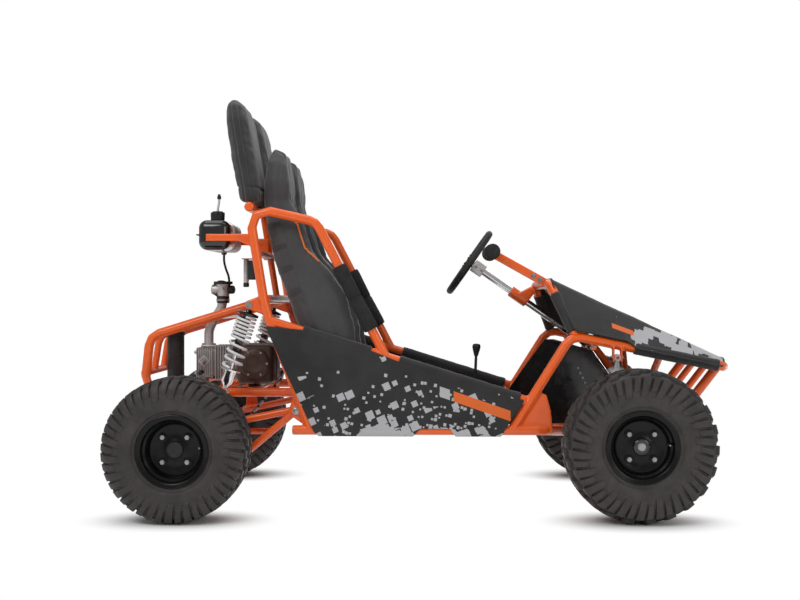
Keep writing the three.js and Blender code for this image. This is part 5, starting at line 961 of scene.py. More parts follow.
def add_tank():
    x, z = -693.2, 914
    parts = [slab("tank_near", mm(x, -264, z), mm(104, 148, 100), gloss_black, None, 0.027, 7),
             slab("tank_far", mm(x, -114, z - 1), mm(101, 168, 96), pale_tank, None, 0.025, 7),
             slab("tank_seam", mm(x, -184, z), mm(116, 304, 4), dull_black, None, 0.0016),
             cylinder("tank_neck", mm(x, -250, z + 46), mm(x, -250, z + 61.5), 0.0200, dull_black, 32),
             cylinder("tank_tap", mm(x, -120, z - 58), mm(x, -120, z - 44), 0.0090, dull_black, 20, 0.001),
             cylinder("tank_tap_nut", mm(x, -120, z - 53), mm(x, -120, z - 50), 0.0115, steel, 6)]
    for side in (-1, 1):
        parts.append(bolt(f"tank_bolt_{side + 1}", mm(x + side * 30, -310, z + 2), UP, 0.0055, 0.004, steel,
                          0.004))
    dress(merge("fuel_tank_shell", parts), "chassis", "tank_plastic", "fuel_tank")
    top = mm(x, -250, 976)
    grips = []
    for k in range(8):
        place = CAP_GRIP_R * math.cos(k * math.pi / 4), CAP_GRIP_R * math.sin(k * math.pi / 4)
        grips.append(cylinder(f"cap_grip_{k}", top + mm(*place, 2), top + mm(*place, 18), 0.0050, dull_black,
                              14, 0.0015))
    crown = revolve("cap_crown", [(0.0212, -0.008), (0.0232, -0.008), (0.0235, 0.006), (0.0200, 0.008),
                                  (0.0195, 0.018), (0.0170, 0.021), (0.0080, 0.022), (0.0078, 0.0005),
                                  (0.0212, 0.0005), (0.0212, -0.008)],
                    top, UP, dull_black, 40)
    hose = sweep("cap_hose",
                 smooth_route([top + mm(0, 0, 10), top + mm(1, 0, 32), top + mm(4, 0, 50),
                               top + mm(5, 0, 62)]),
                 0.0040, clear_hose, 14)
    valve = revolve("cap_valve", [(0.0045, 0), (0.0068, 0.002), (0.0068, 0.010), (0.0048, 0.012),
                                  (0.0048, 0.017)],
                    top + mm(5, 0, 62), UP, dull_black, 20)
    dress(merge("fuel_cap_star", [*grips, crown, hose, valve]), "fuel_cap", "cap_plastic", "fuel_cap")


def add_engine():
    y, z = ENGINE_Y, ENGINE_Z
    parts = [slab("crankcase", mm(CRANK_X, y, z - 4), mm(126, 222, 136), bronze, None, 0.016, 5),
             slab("crankcase_waist", mm(CRANK_X, y, z - 4), mm(129, 60, 139), bronze, None, 0.012, 4),
             revolve("case_cover", [(0.047, 0), (0.052, 0.002), (0.052, 0.010), (0.047, 0.014),
                                    (0.030, 0.015), (0.028, 0.0135), (0.004, 0.0135)],
                                    mm(CRANK_X, y - 111, z), -ACROSS, bronze, 48),
             slab("barrel_core", mm(-697, y, z), mm(100, 92, 92), alloy, None, 0.006, 3),
             slab("head", mm(HEAD_X, y, z), mm(61, 104, 90), alloy, None, 0.007, 3)]
    for k in range(10):
        parts.append(slab(f"fin_{k}", mm(-728.2 + 9 * k, y, z), mm(3.2, 122, 122), alloy, None, 0.0014))
    for k in range(8):
        parts.append(slab(f"head_fin_{k}", mm(-741.5 - 7.6 * k, y, z), mm(2.6, 120, 104), alloy, None,
                          0.0011))
    diamond = Matrix.Rotation(math.pi / 4, 3, "Y")
    parts.append(slab("diamond_plate", mm(HEAD_X, y - 62, z + 6), mm(31, 5, 31), alloy, diamond, 0.0012))
    parts.append(slab("diamond_face", mm(HEAD_X, y - 64.8, z + 6), mm(22, 1.2, 22), steel, diamond, 0.0005))
    for k in range(6):
        turn = k * math.pi / 3
        parts.append(bolt(f"cover_bolt_{k}",
                          mm(CRANK_X + 43 * math.cos(turn), y - 123, z + 43 * math.sin(turn)), -ACROSS,
                          0.0045, 0.004, steel))
    for across in (-1, 1):
        for high in (-1, 1):
            parts.append(bolt(f"head_nut_{across + 1}_{high + 1}", mm(-799, y + across * 38, z + high * 36),
                              (-1, 0, 0),
                              0.0065, 0.006, steel, 0.006))
    parts.append(cylinder("spark_plug", mm(-775, y - 50, z - 30), mm(-782, y - 74, z - 38), 0.0075,
                          dull_black, 18, 0.002))
    parts.append(cylinder("drive_shaft", mm(DRIVE_SHAFT[0], 81, DRIVE_SHAFT[1]),
                          mm(DRIVE_SHAFT[0], 129, DRIVE_SHAFT[1]), 0.0090, steel, 24))
    parts.append(ring("drive_sprocket", mm(DRIVE_SHAFT[0], SPROCKET_Y, DRIVE_SHAFT[1]), ACROSS, 0.0205,
                      0.0085, 0.006, steel, 30))
    for number, foot in enumerate((-600, -740)):
        parts.append(slab(f"engine_foot_{number}", mm(foot, y, z - 78), mm(28, 108, 18), dull_black, None,
                          0.003))
    dress(merge("engine_dressed", parts), "chassis", "engine_alloy", "engine")


def add_carburettor():
    y = ENGINE_Y
    centre = mm(MOUTH_X, y, 735)
    pipe = smooth_route([mm(INTAKE_X, y, 530.6), mm(INTAKE_X, y, 560), mm(-760, y, 592), mm(-742, y, 632),
                         mm(-719, y, 668),
                         mm(MOUTH_X, y, 706)])
    parts = [sweep("intake_pipe", pipe, 0.0165, alloy, 28),
             slab("intake_flange", mm(INTAKE_X, y, 535), mm(52, 34, 8), alloy, None, 0.003, 3),
             ring("intake_joint", mm(-711.5, y, 700), UP, 0.0225, 0.0120, 0.026, dull_black),
             ring("joint_clamp", mm(-711.5, y, 698), UP, 0.0240, 0.0180, 0.008, steel),
             revolve("carburettor_body", [(0.012, -0.024), (0.021, -0.024), (0.023, -0.012), (0.021, 0.004),
                                          (0.024, 0.012), (0.0305, 0.027), (0.0290, 0.028), (0.0200, 0.012),
                                          (0.0160, 0.000), (0.0160, -0.020), (0.012, -0.024)], centre, UP,
                                          alloy, 40),
             ring("bell_ring", centre + mm(0, 0, 24), UP, 0.0335, 0.0290, 0.010, dull_black, 40),
             ring("mouth_clamp", centre + mm(-6, 0, 2), ACROSS, 0.0310, 0.0255, 0.030, dull_black, 44),
             revolve("float_bowl", [(0.017, 0), (0.0192, 0.004), (0.0192, 0.030), (0.0165, 0.040),
                                    (0.0070, 0.043)], centre,
                     (-1, 0, 0), alloy, 36),
             revolve("slide_cap", [(0.0140, 0), (0.0150, 0.012), (0.0150, 0.034), (0.0130, 0.040),
                                   (0.0050, 0.043)], centre,
                     (1, 0, 0), dull_black, 36)]
    for side in (-1, 1):
        parts.append(bolt(f"flange_bolt_{side + 1}", mm(INTAKE_X + side * 20, y, 539), UP, 0.0055, 0.005,
                          steel))
    parts.append(cylinder("idle_screw", centre + mm(4, -20, 4), centre + mm(4, -32, 4), 0.0030, steel, 14,
                          0.001))
    line = smooth_route([mm(-689, y, 744), mm(-686, -52, 762), mm(-685, -76, 783), mm(-689, -104, 806),
                         mm(-693, -119, 832),
                         mm(-693.2, -120, 858)])
    parts.append(sweep("fuel_line", line, 0.0040, dull_black, 14))
    dress(merge("carburettor_dressed", parts), "chassis", "intake", "carburettor")


def add_muffler():
    foot = mm(-881.2, -27, 405)
    can = revolve("muffler_can", [(0.020, 0), (0.026, 0.002), (0.030, 0.010), (0.030, 0.166), (0.0325, 0.168),
                                  (0.0325, 0.180), (0.028, 0.182), (0.025, 0.186), (0.012, 0.187),
                                  (0.011, 0.180), (0.004, 0.180)], foot, UP, dull_black, 44)
    pipe = sweep("exhaust_pipe", smooth_route([mm(-775.2, -30, 425.7), mm(-776, -30, 412), mm(-790, -30, 405),
                                               mm(-830, -28.5, 412), mm(-872, -27, 422)]), 0.0130, steel, 24)
    flange = slab("exhaust_flange", mm(-775.2, -30, 423), mm(52, 34, 5), steel, None, 0.002)
    dress(merge("muffler_dressed", [can, pipe, flange]), "chassis", "muffler_paint", "muffler")


STEER_AXIS = Vector((0.8211, 0, -0.5707)).normalized()
WHEEL_CENTRE = mm(174.8, 190, 838.1)


def ahead(distance):
    return WHEEL_CENTRE + STEER_AXIS * distance * MM


def add_steering():
    side, rise, _ = basis(STEER_AXIS)
    route = [WHEEL_CENTRE + around(side, rise, 2 * math.pi * k / 96) * 0.128 for k in range(96)]
    grip = sweep("wheel_grip", route, 0.0125, dull_black, 20, closed=True)
    hub = revolve("wheel_hub", [(0.030, 0), (0.034, 0.003), (0.034, 0.012), (0.026, 0.018), (0.026, 0.026),
                                (0.010, 0.026)],
                  ahead(-13), STEER_AXIS, dull_black, 40)
    parts = [grip, hub]
    start = Vector((STEER_AXIS.z, 0, -STEER_AXIS.x)) * -1
    for k in range(3):
        out = Matrix.Rotation(2 * math.pi * k / 3, 3, STEER_AXIS) @ start
        turn = Matrix((out, STEER_AXIS.cross(out), STEER_AXIS)).transposed()
        parts.append(slab(f"spoke_{k}", WHEEL_CENTRE + out * 0.072, (0.100, 0.025, 0.005), black_steel, turn,
                          0.0016))
    for k in range(6):
        out = Matrix.Rotation(math.pi * k / 3, 3, STEER_AXIS) @ start
        parts.append(bolt(f"hub_bolt_{k}", ahead(-13) + out * 0.024, -STEER_AXIS, 0.0038, 0.003, steel))
    dress(merge("steering_wheel_dressed", parts), "steering", "grip", "steering_wheel")
    turn = Matrix((STEER_AXIS, ACROSS, STEER_AXIS.cross(ACROSS))).transposed()
    column = [cylinder("column_tube", ahead(14), ahead(530), 0.0127, chrome, 36, 0.001),
              slab("column_block", ahead(40), (0.046, 0.046, 0.046), alloy, turn, 0.003, 3),
              cylinder("column_yoke", ahead(507), ahead(532), 0.0140, steel, 30, 0.002)]
    for edge in (-1, 1):
        column.append(bolt(f"block_bolt_{edge + 1}", ahead(40 + edge * 13) - ACROSS * 0.023, -ACROSS, 0.0055,
                           0.004, steel))
    dress(merge("steering_column_dressed", column), "steering", "column_steel", "steering_column")
    joint, pinion = ahead(545), mm(RACK_X, 40, 256.9)
    along = (pinion - joint).normalized()
    shaft = [cylinder("lower_tube", joint + along * 0.008, pinion - along * 0.0004, 0.0090, chrome, 28),
             revolve("joint_cross", [(0.004, -0.0118), (0.009, -0.008), (0.0118, 0), (0.009, 0.008),
                                     (0.004, 0.0118)], joint,
                     along, steel, 28),
             ring("joint_yoke", joint + along * 0.020, along, 0.0125, 0.0080, 0.012, steel)]
    dress(merge("lower_shaft_dressed", shaft), "lower_shaft", "column_steel", "steering_shaft")
    rack = cylinder("rack_bar", mm(RACK_X, -139, 234.9), mm(RACK_X, 139, 234.9), 0.0080, chrome, 28, 0.001)
    dress(rack, "rack", "column_steel", "steering_rack")


def add_tie_rod(name, side):
    inner = mm(RACK_X, side * TIE_IN_Y, RACK_Z)
    outer = mm(RACK_X, side * TIE_OUT_Y, RACK_Z - TIE_FALL)
    along = (outer - inner).normalized()
    parts = [cylinder(f"tie_{name}_bar", inner + along * 0.006, outer - along * 0.008, 0.0060, chrome, 22),
             revolve(f"tie_{name}_ball", [(0.003, -0.0097), (0.0075, -0.0064), (0.0099, 0), (0.0075, 0.0064),
                                          (0.003, 0.0097)], inner, along, steel, 28),
             cylinder(f"tie_{name}_boot", inner + along * 0.010, inner + along * 0.036, 0.0088, dull_black,
                      22, 0.003),
             cylinder(f"tie_{name}_nut", outer - along * 0.050, outer - along * 0.042, 0.0080, steel, 6),
             cylinder(f"tie_{name}_socket", outer - along * 0.042, outer - along * 0.010, 0.0076, dull_black,
                      22, 0.001),
             revolve(f"tie_{name}_eye", [(0.0100, -0.0070), (0.0120, -0.005), (0.0120, 0.005),
                                         (0.0100, 0.0068), (0.0040, 0.0069)], outer, UP, dull_black, 28)]
    dress(merge(f"tie_rod_{name}_dressed", parts), f"tie_rod_{name}", "column_steel", f"tie_rod_{name}")


def add_shifter():
    pivot, top = mm(184.8, 30, 330), mm(193.8, 30, 541)
    along = (top - pivot).normalized()
    stem = cylinder("shift_stem", pivot, top - along * 0.038, 0.0050, black_steel, 20)
    boss = revolve("shift_boss", [(0.0062, -0.0110), (0.0110, -0.0110), (0.0110, 0.0110), (0.0062, 0.0110),
                                  (0.0062, -0.0110)], pivot, ACROSS, black_steel, 28)
    knob = revolve("shift_knob", [(0.0072, 0), (0.0085, 0.006), (0.0125, 0.020), (0.0148, 0.031),
                                  (0.0145, 0.037), (0.0120, 0.042), (0.0050, 0.044)], top - along * 0.044,
                                  along, dull_black, 36)
    dress(merge("shift_lever_dressed", [stem, boss, knob]), "shift_lever", "black_steel", "shift_lever")


def add_pedal(name, y):
    pivot, top = mm(512.8, y, 318), mm(482.8, y, 436)
    parts = [cylinder(name + "_arm", pivot, top, 0.0060, black_steel, 20),
             revolve(name + "_boss", [(0.0062, -0.009), (0.0110, -0.009), (0.0110, 0.009), (0.0062, 0.009),
                                      (0.0062, -0.009)], pivot, ACROSS, black_steel, 28),
             slab(name + "_pad", top, mm(7, 62, 74), black_steel, None, 0.002)]
    for k in range(6):
        parts.append(slab(f"{name}_rib_{k}", top + mm(-2.6, 0, -27 + 11 * k), mm(1.8, 52, 4), dull_black,
                          None, 0.0006))
    dress(merge(name + "_dressed", parts), name, "black_steel", name)


DISC_R, SPROCKET_R, DRIVE_R, TOOTH = 80, 78, 26, 7
CHAIN_PITCH = 15.875


def toothed_disc(name, centre, radius, tooth, teeth, width, material):
    """A sprocket's toothed rim; its spokes and hub are added apart."""
    points, faces = [], []
    steps = teeth * 6
    for level in (-width / 2, width / 2):
        for r_kind in ("outer", "inner"):
            for k in range(steps):
                turn = 2 * math.pi * k / steps
                outline = radius + tooth * (0.5 - 0.5 * math.cos(turn * teeth))
                r = outline if r_kind == "outer" else radius * 0.72
                points.append(centre + mm(r * math.cos(turn), level, r * math.sin(turn)))
    for k in range(steps):
        n = (k + 1) % steps
        a, b, c, d = 0, steps, 2 * steps, 3 * steps
        faces += [(a + k, a + n, b + n, b + k), (c + k, d + k, d + n, c + n), (a + k, c + k, c + n, a + n),
                  (b + k, b + n, d + n, d + k)]
    return sharp_smooth(outward_faces(make(name, points, faces, material)), 40)


def add_axle():
    centre = mm(REAR_AXLE[0], 0, REAR_AXLE[1])
    face = (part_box("rear_axle")[1].y) * 1000
    parts = [cylinder("axle_bar", centre - mm(0, face, 0), centre + mm(0, face, 0), 0.0150, steel, 36)]
    for side in (-1, 1):
        out = ACROSS * side
        hub = [(0.015, 0), (0.022, 0), (0.024, 0.004), (0.046, 0.005), (0.050, 0.007), (0.050, 0.0145)]
        parts.append(revolve(f"axle_hub_{side + 1}", hub, centre + out * (face - 14.6) * MM, out,
                             black_steel))
        parts.append(ring(f"axle_collar_{side + 1}", centre + out * 0.2780, ACROSS, 0.0230, 0.0140, 0.014,
                          steel))
    middle = centre + mm(0, SPROCKET_Y, 0)
    parts.append(toothed_disc("rear_sprocket", middle, SPROCKET_R - 3, TOOTH, 26, 6, steel))
    for k in range(5):
        turn = 2 * math.pi * k / 5
        out = Vector((math.cos(turn), 0, math.sin(turn)))
        rotate = Matrix((out, ACROSS, out.cross(ACROSS))).transposed()
        parts.append(slab(f"sprocket_arm_{k}", middle + out * 0.038, (0.046, 0.006, 0.020), steel, rotate,
                          0.001))
    parts.append(ring("sprocket_boss", middle, ACROSS, 0.0260, 0.0140, 0.022, black_steel))
    disc = centre - mm(0, SPROCKET_Y, 0)
    parts.append(ring("brake_disc", disc, ACROSS, DISC_R * MM, 0.0500, 0.0045, steel, 64))
    parts.append(ring("disc_carrier", disc, ACROSS, 0.0520, 0.0140, 0.0036, black_steel, 48))
    for k in range(6):
        turn = 2 * math.pi * k / 6
        parts.append(bolt(f"disc_bolt_{k}", disc + mm(45 * math.cos(turn), -1.8, 45 * math.sin(turn)),
                          -ACROSS, 0.0055, 0.004,
                          steel))
    dress(merge("rear_axle_dressed", parts), "rear_axle", "axle_steel", "rear_axle")


REAR_SPROCKET, DRIVE_SPROCKET = Vector(REAR_AXLE), Vector(DRIVE_SHAFT)


def chain_route():
    """Closed pitch line round both sprockets."""
    rear, front = REAR_SPROCKET, DRIVE_SPROCKET
    big, small = SPROCKET_R + TOOTH / 2, DRIVE_R
    line = math.atan2(front.y - rear.y, front.x - rear.x)
    swing = math.acos((big - small) / (front - rear).length)
    route = []
    for k in range(60):
        turn = line + swing + (2 * math.pi - 2 * swing) * k / 59
        route.append(Vector((rear.x + big * math.cos(turn), 0, rear.y + big * math.sin(turn))))
    for k in range(24):
        turn = line - swing + 2 * swing * k / 23
        route.append(Vector((front.x + small * math.cos(turn), 0, front.y + small * math.sin(turn))))
    return route + [route[0]]


def add_chain():
    route = chain_route()
    length = sum((b - a).length for a, b in zip(route, route[1:]))
    count = 2 * round(length / CHAIN_PITCH / 2)
    pins = spaced(route, count + 1)[:-1]
    parts = []
    for k, pin in enumerate(pins):
        after = pins[(k + 1) % count]
        parts.append(cylinder(f"roller_{k}", mm(pin.x, SPROCKET_Y - 4.6, pin.z),
                              mm(pin.x, SPROCKET_Y + 4.6, pin.z), 0.0046,
                              steel, 10))
        along = (after - pin).normalized()
        turn = Matrix((along, ACROSS, along.cross(ACROSS))).transposed()
        out = 6.2 if k % 2 else 5.2
        for side in (-1, 1):
            middle = (pin + after) / 2
            parts.append(slab(f"link_{k}_{side + 1}", mm(middle.x, SPROCKET_Y + side * out, middle.z),
                              (0.0235, 0.0011, 0.0092), steel if k % 2 else dull_black, turn, 0.0040, 2))
    piece = merge("chain_links", parts)
    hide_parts("chain")
    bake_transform(piece)


def add_knuckles():
    for name, _ in SIDES:
        node = f"knuckle_{name}"
        welded(node + "_forged", node, node, black_steel, "black_steel", **FINE)


RIVET = [(0.0042, -0.0005), (0.0040, 0.0012), (0.0015, 0.0020)]
# Bolts on a side frame: [x, z, radius]
SIDE_BOLTS = [(-0.5702, 0.682, 0.0085), (-0.4152, 0.335, 0.0100), (0.5580, 0.546, 0.0050),
              (0.4925, 0.300, 0.0060)]


def add_tub():
    tub = softened("footwell_tub_moulded", "footwell_tub", tub_plastic, 0.0035, 3, 25)
    dress(tub, "chassis", "tub_plastic", "footwell_tub")
    skin = Surface(nodes["footwell_tub"])
    rivets = []
    for side in (-1, 1):
        for k in range(9):
            start = Vector((0.520 + 0.0085 * k, side * 0.9, 0.470 - 0.017 * k))
            place, normal = skin.hit(start, (0, -side, 0))
            if place and abs(normal.y) > 0.5:
                rivets.append(revolve(f"rivet_{side + 1}_{k}", RIVET, place, normal, steel, 14))
    if rivets:
        dress(merge("footwell_rivets", rivets), "chassis", "tub_plastic")


def add_bolts():
    """Bolt heads on the faces of the frame's lugs, found by ray."""
    bolts = []
    for name, side in SIDES:
        skin = Surface(nodes[f"frame_side_{name}"])
        for number, (x, z, radius) in enumerate(SIDE_BOLTS):
            place, _ = skin.hit((x, side * 0.9, z), (0, -side, 0))
            if place:
                bolts.append(bolt(f"side_bolt_{name}_{number}", place, (0, side, 0), radius, 0.006, steel,
                                  0.008))
        for end in (-1, 1):
            place, _ = skin.hit((0.6327 + end * 0.08, side * 0.375, 0.510), (-end, 0, 0))
            if place:
                bolts.append(bolt(f"clevis_bolt_{name}_{end + 1}", place, (end, 0, 0), 0.0070, 0.005, steel,
                                  0.006))
    dress(merge("frame_bolts", bolts), "chassis", "frame_paint")


def add_electrics():
    """Ignition coil and its black box, hung behind the right post."""
    coil = revolve("coil_can", [(0.0075, 0), (0.0090, 0.003), (0.0090, 0.078), (0.0075, 0.082),
                                (0.004, 0.083)],
                   mm(-602, -214, 756), UP, alloy, 30)
    cap = cylinder("coil_cap", mm(-602, -214, 742), mm(-602, -214, 757), 0.0100, dull_black, 24, 0.002)
    box = slab("electric_box", mm(-582, -214, 800), mm(24, 44, 66), black_steel, None, 0.003, 3)
    # The plate's darker orange is painted shade on the frame's own orange paint
    plate = slab("electric_plate", mm(-592, -205, 838), mm(46, 60, 3), shaded_orange, None, 0.001)
    dress(merge("electrics", [coil, cap, box, plate]), "chassis", "frame_paint")


FORWARD_REAR, FORWARD_NOSE = mm(484.8, 0, 582.04), mm(989.8, 0, 479.05)


def cloth_tube(name, route, radius, seed):
    """Cloth drawn round a tube: a sleeve with shallow creases and a hem at each end."""
    radii = []
    for k, place in enumerate(route):
        hem = 0.0009 if k in (2, len(route) - 3) else 0
        crease = noise.fractal(Vector((place.x * 30, place.y * 12 + seed, place.z * 12)), 1, 2, 3)
        radii.append(radius + hem + 0.0011 * crease)
    return dress(sweep(name, route, radii, sleeve_cloth, 32), "chassis", "panel_fabric")


def hood_sleeves():
    """Sleeves on the dash hoop's legs and the forward tubes, from ahead of the shock to the nose."""
    sleeves = []
    for name, side in SIDES:
        foot, top = (mm(x, side * y, z) for x, y, z in (DASH_FOOT, DASH_TOP))
        leg = [foot.lerp(top, 0.07 + 0.72 * k / 50) for k in range(51)]
        sleeves.append(cloth_tube(f"hood_sleeve_leg_{name}", leg, 0.0186, 1 + side))
        route = []
        for k in range(61):
            x = 0.690 + (0.962 - 0.690) * k / 60
            place = FORWARD_REAR.lerp(FORWARD_NOSE, (x - FORWARD_REAR.x) / (FORWARD_NOSE.x - FORWARD_REAR.x))
            route.append(Vector((place.x, side * FRAME_HALF, place.z)))
        sleeves.append(cloth_tube(f"hood_sleeve_{name}", route, 0.0192, 4 + side))
    return sleeves


# Sewn and stuffed pieces
def inflate(piece, pressure, cap, frames=20):
    """Blows the piece up as gravity-free cloth and keeps the shape; no point moves further than the cap."""
    start = read(piece.data, "co")
    modifier = piece.modifiers.new("cloth", "CLOTH")
    modifier.settings.use_pressure = True
    modifier.settings.uniform_pressure_force = pressure
    modifier.settings.effector_weights.gravity = 0
    modifier.point_cache.frame_end = frames
    for number in range(1, frames + 1):
        bpy.context.scene.frame_set(number)
    swollen = piece.evaluated_get(bpy.context.evaluated_depsgraph_get())
    move = read(swollen.data, "co") - start
    piece.modifiers.clear()
    bpy.context.scene.frame_set(1)
    far = np.linalg.norm(move, axis=1, keepdims=True)
    write(piece.data, start + move * np.minimum(1, cap / np.maximum(far, 1e-9)))
    return piece


def subdivide(piece):
    return all_smooth(modify(piece, "SUBSURF", levels=1, render_levels=1))


def carve(piece, distance, depth, width, mask=None):
    """Presses a sewn channel in where the distance from its line is small."""
    places, normals = read(piece.data, "co"), read(piece.data, "normal")
    push = depth * np.exp(-(distance(places) / width) ** 2)
    if mask:
        push = push * mask(places, normals)
    write(piece.data, places - normals * push[:, None])


def ripple(piece, scale, height, seed, stretch=(1, 1, 1)):
    """Shallow wrinkles from noise."""
    places, normals = read(piece.data, "co"), read(piece.data, "normal")
    shift = Vector((seed * 7.3, seed * 3.1, seed * 5.7))
    lift = np.array([noise.fractal(Vector(p * stretch) * scale + shift, 1.0, 2.0, 3) for p in places])
    write(piece.data, places + normals * (lift * height)[:, None])


SEAT_SHIFT = 0.175
# Middle of a headrest, and how far it leans back for its height
HEADREST_X, HEADREST_Z, HEADREST_LEAN = -0.5722, 1.005, 0.167
# The seat's back line: [x, z, half width, bolster depth]
SEAT_LINE = [(-0.5004, 1.2183, 0.086, 0.041), (-0.5208, 1.1715, 0.123, 0.068),
             (-0.5310, 1.1000, 0.130, 0.082), (-0.5310, 1.0299, 0.116, 0.080),
             (-0.5150, 0.9405, 0.154, 0.111), (-0.4873, 0.8305, 0.168, 0.123),
             (-0.4552, 0.7356, 0.171, 0.164), (-0.4246, 0.6504, 0.171, 0.185),
             (-0.3897, 0.5596, 0.171, 0.174), (-0.3547, 0.4703, 0.171, 0.157),
             (-0.2964, 0.3795, 0.171, 0.147), (-0.1944, 0.3204, 0.171, 0.144),
             (-0.0924, 0.3204, 0.168, 0.123), (-0.0050, 0.3300, 0.157, 0.096), (0.0270, 0.3520, 0.140, 0.058)]
SEAT_SEAMS = (0.030, 0.086)
STRAP_SHARES = (0.285, 0.335, 0.385, 0.445)


def seat_spot(share):
    """Place and lie of the seat's back line at a share of its sections."""
    at = share * (len(SEAT_LINE) - 1)
    i = min(int(at), len(SEAT_LINE) - 2)
    a, b = np.array(SEAT_LINE[i]), np.array(SEAT_LINE[i + 1])
    x, z, half, deep = a + (b - a) * (at - i)
    before, after = SEAT_LINE[max(i - 1, 0)], SEAT_LINE[min(i + 2, len(SEAT_LINE) - 1)]
    along = Vector((after[0] - before[0], 0, after[1] - before[1])).normalized()
    return Vector((x, 0, z)), along, Vector((-along.z, 0, along.x)), half, deep


def line_depth(places):
    """How far in front of the back line each point lies."""
    best = np.full(len(places), 9.0)
    for (x0, z0, _, _), (x1, z1, _, _) in zip(SEAT_LINE, SEAT_LINE[1:]):
        span = np.array([x1 - x0, z1 - z0])
        off = places[:, [0, 2]] - np.array([x0, z0])
        t = np.clip(off @ span / (span @ span), 0, 1)
        best = np.minimum(best, np.linalg.norm(off - t[:, None] * span, axis=1))
    return best


def strap(name, places, normals, wide, width, thick, material):
    """Flat strap laid along places; the normals point off what carries it."""
    section = [(-0.5, -0.3), (-0.5, 0.6), (-0.44, 1.0), (0.44, 1.0), (0.5, 0.6), (0.5, -0.3)]
    points = []
    for place, normal in zip(places, normals):
        points += [place + wide * (a * width) + normal * (b * thick) for a, b in section]
    piece = make(name, points, ring_faces(len(places), len(section)), material)
    return sharp_smooth(outward_faces(piece), 50)


def faces_front(places, normals):
    return np.clip(normals[:, 0] * 2.0 + normals[:, 2] * 1.4, 0, 1)


def faces_side(places, normals):
    return np.clip(np.abs(normals[:, 1]) * 2.4 - 1.2, 0, 1)


def add_seat(name, side):
    centre = side * SEAT_SHIFT
    piece = relax(remesh(copy_node(f"seat_{name}_cushion", f"seat_{name}", seat_cloth), 0.0075), 3)
    piece = subdivide(inflate(piece, 4.0, 0.007))
    for seam in SEAT_SEAMS:
        carve(piece, lambda p: np.abs(np.abs(p[:, 1] - centre) - seam), 0.0042, 0.0042, faces_front)
    for depth in (0.048, 0.104):
        carve(piece, lambda p: line_depth(p) - depth, 0.0026, 0.0032, faces_side)
    for share in (0.27, 0.60, 0.74):
        spot, along, _, _, _ = seat_spot(share)
        across = np.array(along)
        carve(piece, lambda p: (p - np.array(spot)) @ across, 0.0036, 0.0040,
              lambda p, n: faces_front(p, n) * (np.abs(p[:, 1] - centre) < 0.086))
    ripple(piece, 14, 0.0022, 3 + side)
    dress(piece, "chassis", "seat_fabric", f"seat_{name}")
    trim = Surface(piece)
    for edge in (-1, 1):
        route = []
        for k in range(34):
            spot, _, out, half, _ = seat_spot(0.262 + 0.13 * k / 33)
            start = spot + out * 0.5 + ACROSS * (centre + edge * (half - 0.012))
            place, _ = trim.hit(start, -out)
            if place and (not route or (place - route[-1]).length < 0.05):
                route.append(place)
        if len(route) > 3:
            cord = sweep(f"seat_{name}_piping_{'inner' if edge == -side else 'outer'}", route, 0.0034,
                         piping_orange, 10)
            dress(cord, "chassis", "seat_fabric")
    for number, share in enumerate(STRAP_SHARES):
        spot, along, out, _, _ = seat_spot(share)
        middle = spot + out * 0.030 + ACROSS * centre
        places, normals = [], []
        for k in range(49):
            turn = math.pi * (k / 48 * 1.06 - 0.03)
            ray = ACROSS * math.cos(turn) - out * math.sin(turn)
            place, normal = trim.hit(middle + ray * 0.5, -ray)
            if place:
                places.append(place)
                normals.append(ray.lerp(normal, 0.5).normalized())
        if len(places) > 6:
            band_piece = strap(f"seat_{name}_strap_{number}", places, normals, along, 0.020, 0.0016,
                               seat_shell)
            dress(band_piece, "chassis", "seat_fabric")


def add_headrest(name, side):
    node = f"headrest_{name}"
    low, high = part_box(node)
    centre = (low.y + high.y) / 2
    piece = relax(remesh(copy_node(node + "_pad", node, pad_cloth), 0.0065), 3)
    piece = subdivide(inflate(piece, 4.0, 0.007))

    def deep(p):
        return (p[:, 0] - HEADREST_X) + (p[:, 2] - HEADREST_Z) * HEADREST_LEAN

    carve(piece, lambda p: np.abs(p[:, 1] - centre) - 0.098, 0.0040, 0.0042,
          lambda p, n: np.abs(n[:, 0]) ** 1.5)
    carve(piece, lambda p: np.abs(deep(p)) - 0.013, 0.0030, 0.0034,
          lambda p, n: np.clip(np.abs(n[:, 1]) * 1.6, 0, 1))
    carve(piece, lambda p: p[:, 2] - (low.z + 0.052), 0.0032, 0.0040)
    places = read(piece.data, "co")
    flare = np.clip((low.z + 0.045 - places[:, 2]) / 0.045, 0, 1)
    normals = read(piece.data, "normal")
    level = normals * np.array([1, 1, 0])
    write(piece.data, places + level * (flare ** 1.4 * 0.007)[:, None])
    ripple(piece, 16, 0.0026, 9 + side, (1, 1, 0.45))
    dress(piece, "chassis", "headrest_fabric", node)


def add_foam(name, side):
    node = f"foam_grip_{name}"
    top, foot = Vector((-0.2753, side * FRAME_HALF, 0.8089)), Vector((-0.1678, side * FRAME_HALF, 0.6006))
    length = (foot - top).length
    wide = 0.0240
    profile = [(0.0163, 0), (wide - 0.003, 0), (wide, 0.004), (wide + 0.0008, 0.02),
               (wide - 0.0012, length * 0.48), (wide - 0.004, length * 0.5), (wide - 0.0012, length * 0.52),
               (wide + 0.0008, length - 0.02), (wide, length - 0.004), (wide - 0.003, length),
               (0.0163, length), (0.0163, 0)]
    piece = revolve(node + "_roll", profile, top, foot - top, foam_black, 40, 50)
    dress(piece, "chassis", "foam", node)


# Cloth panels
PANEL_FACE = 0.3861
RAIL_REAR, RAIL_FRONT = Vector((-0.5042, 0, 0.630)), Vector((0.3348, 0, 0.370))
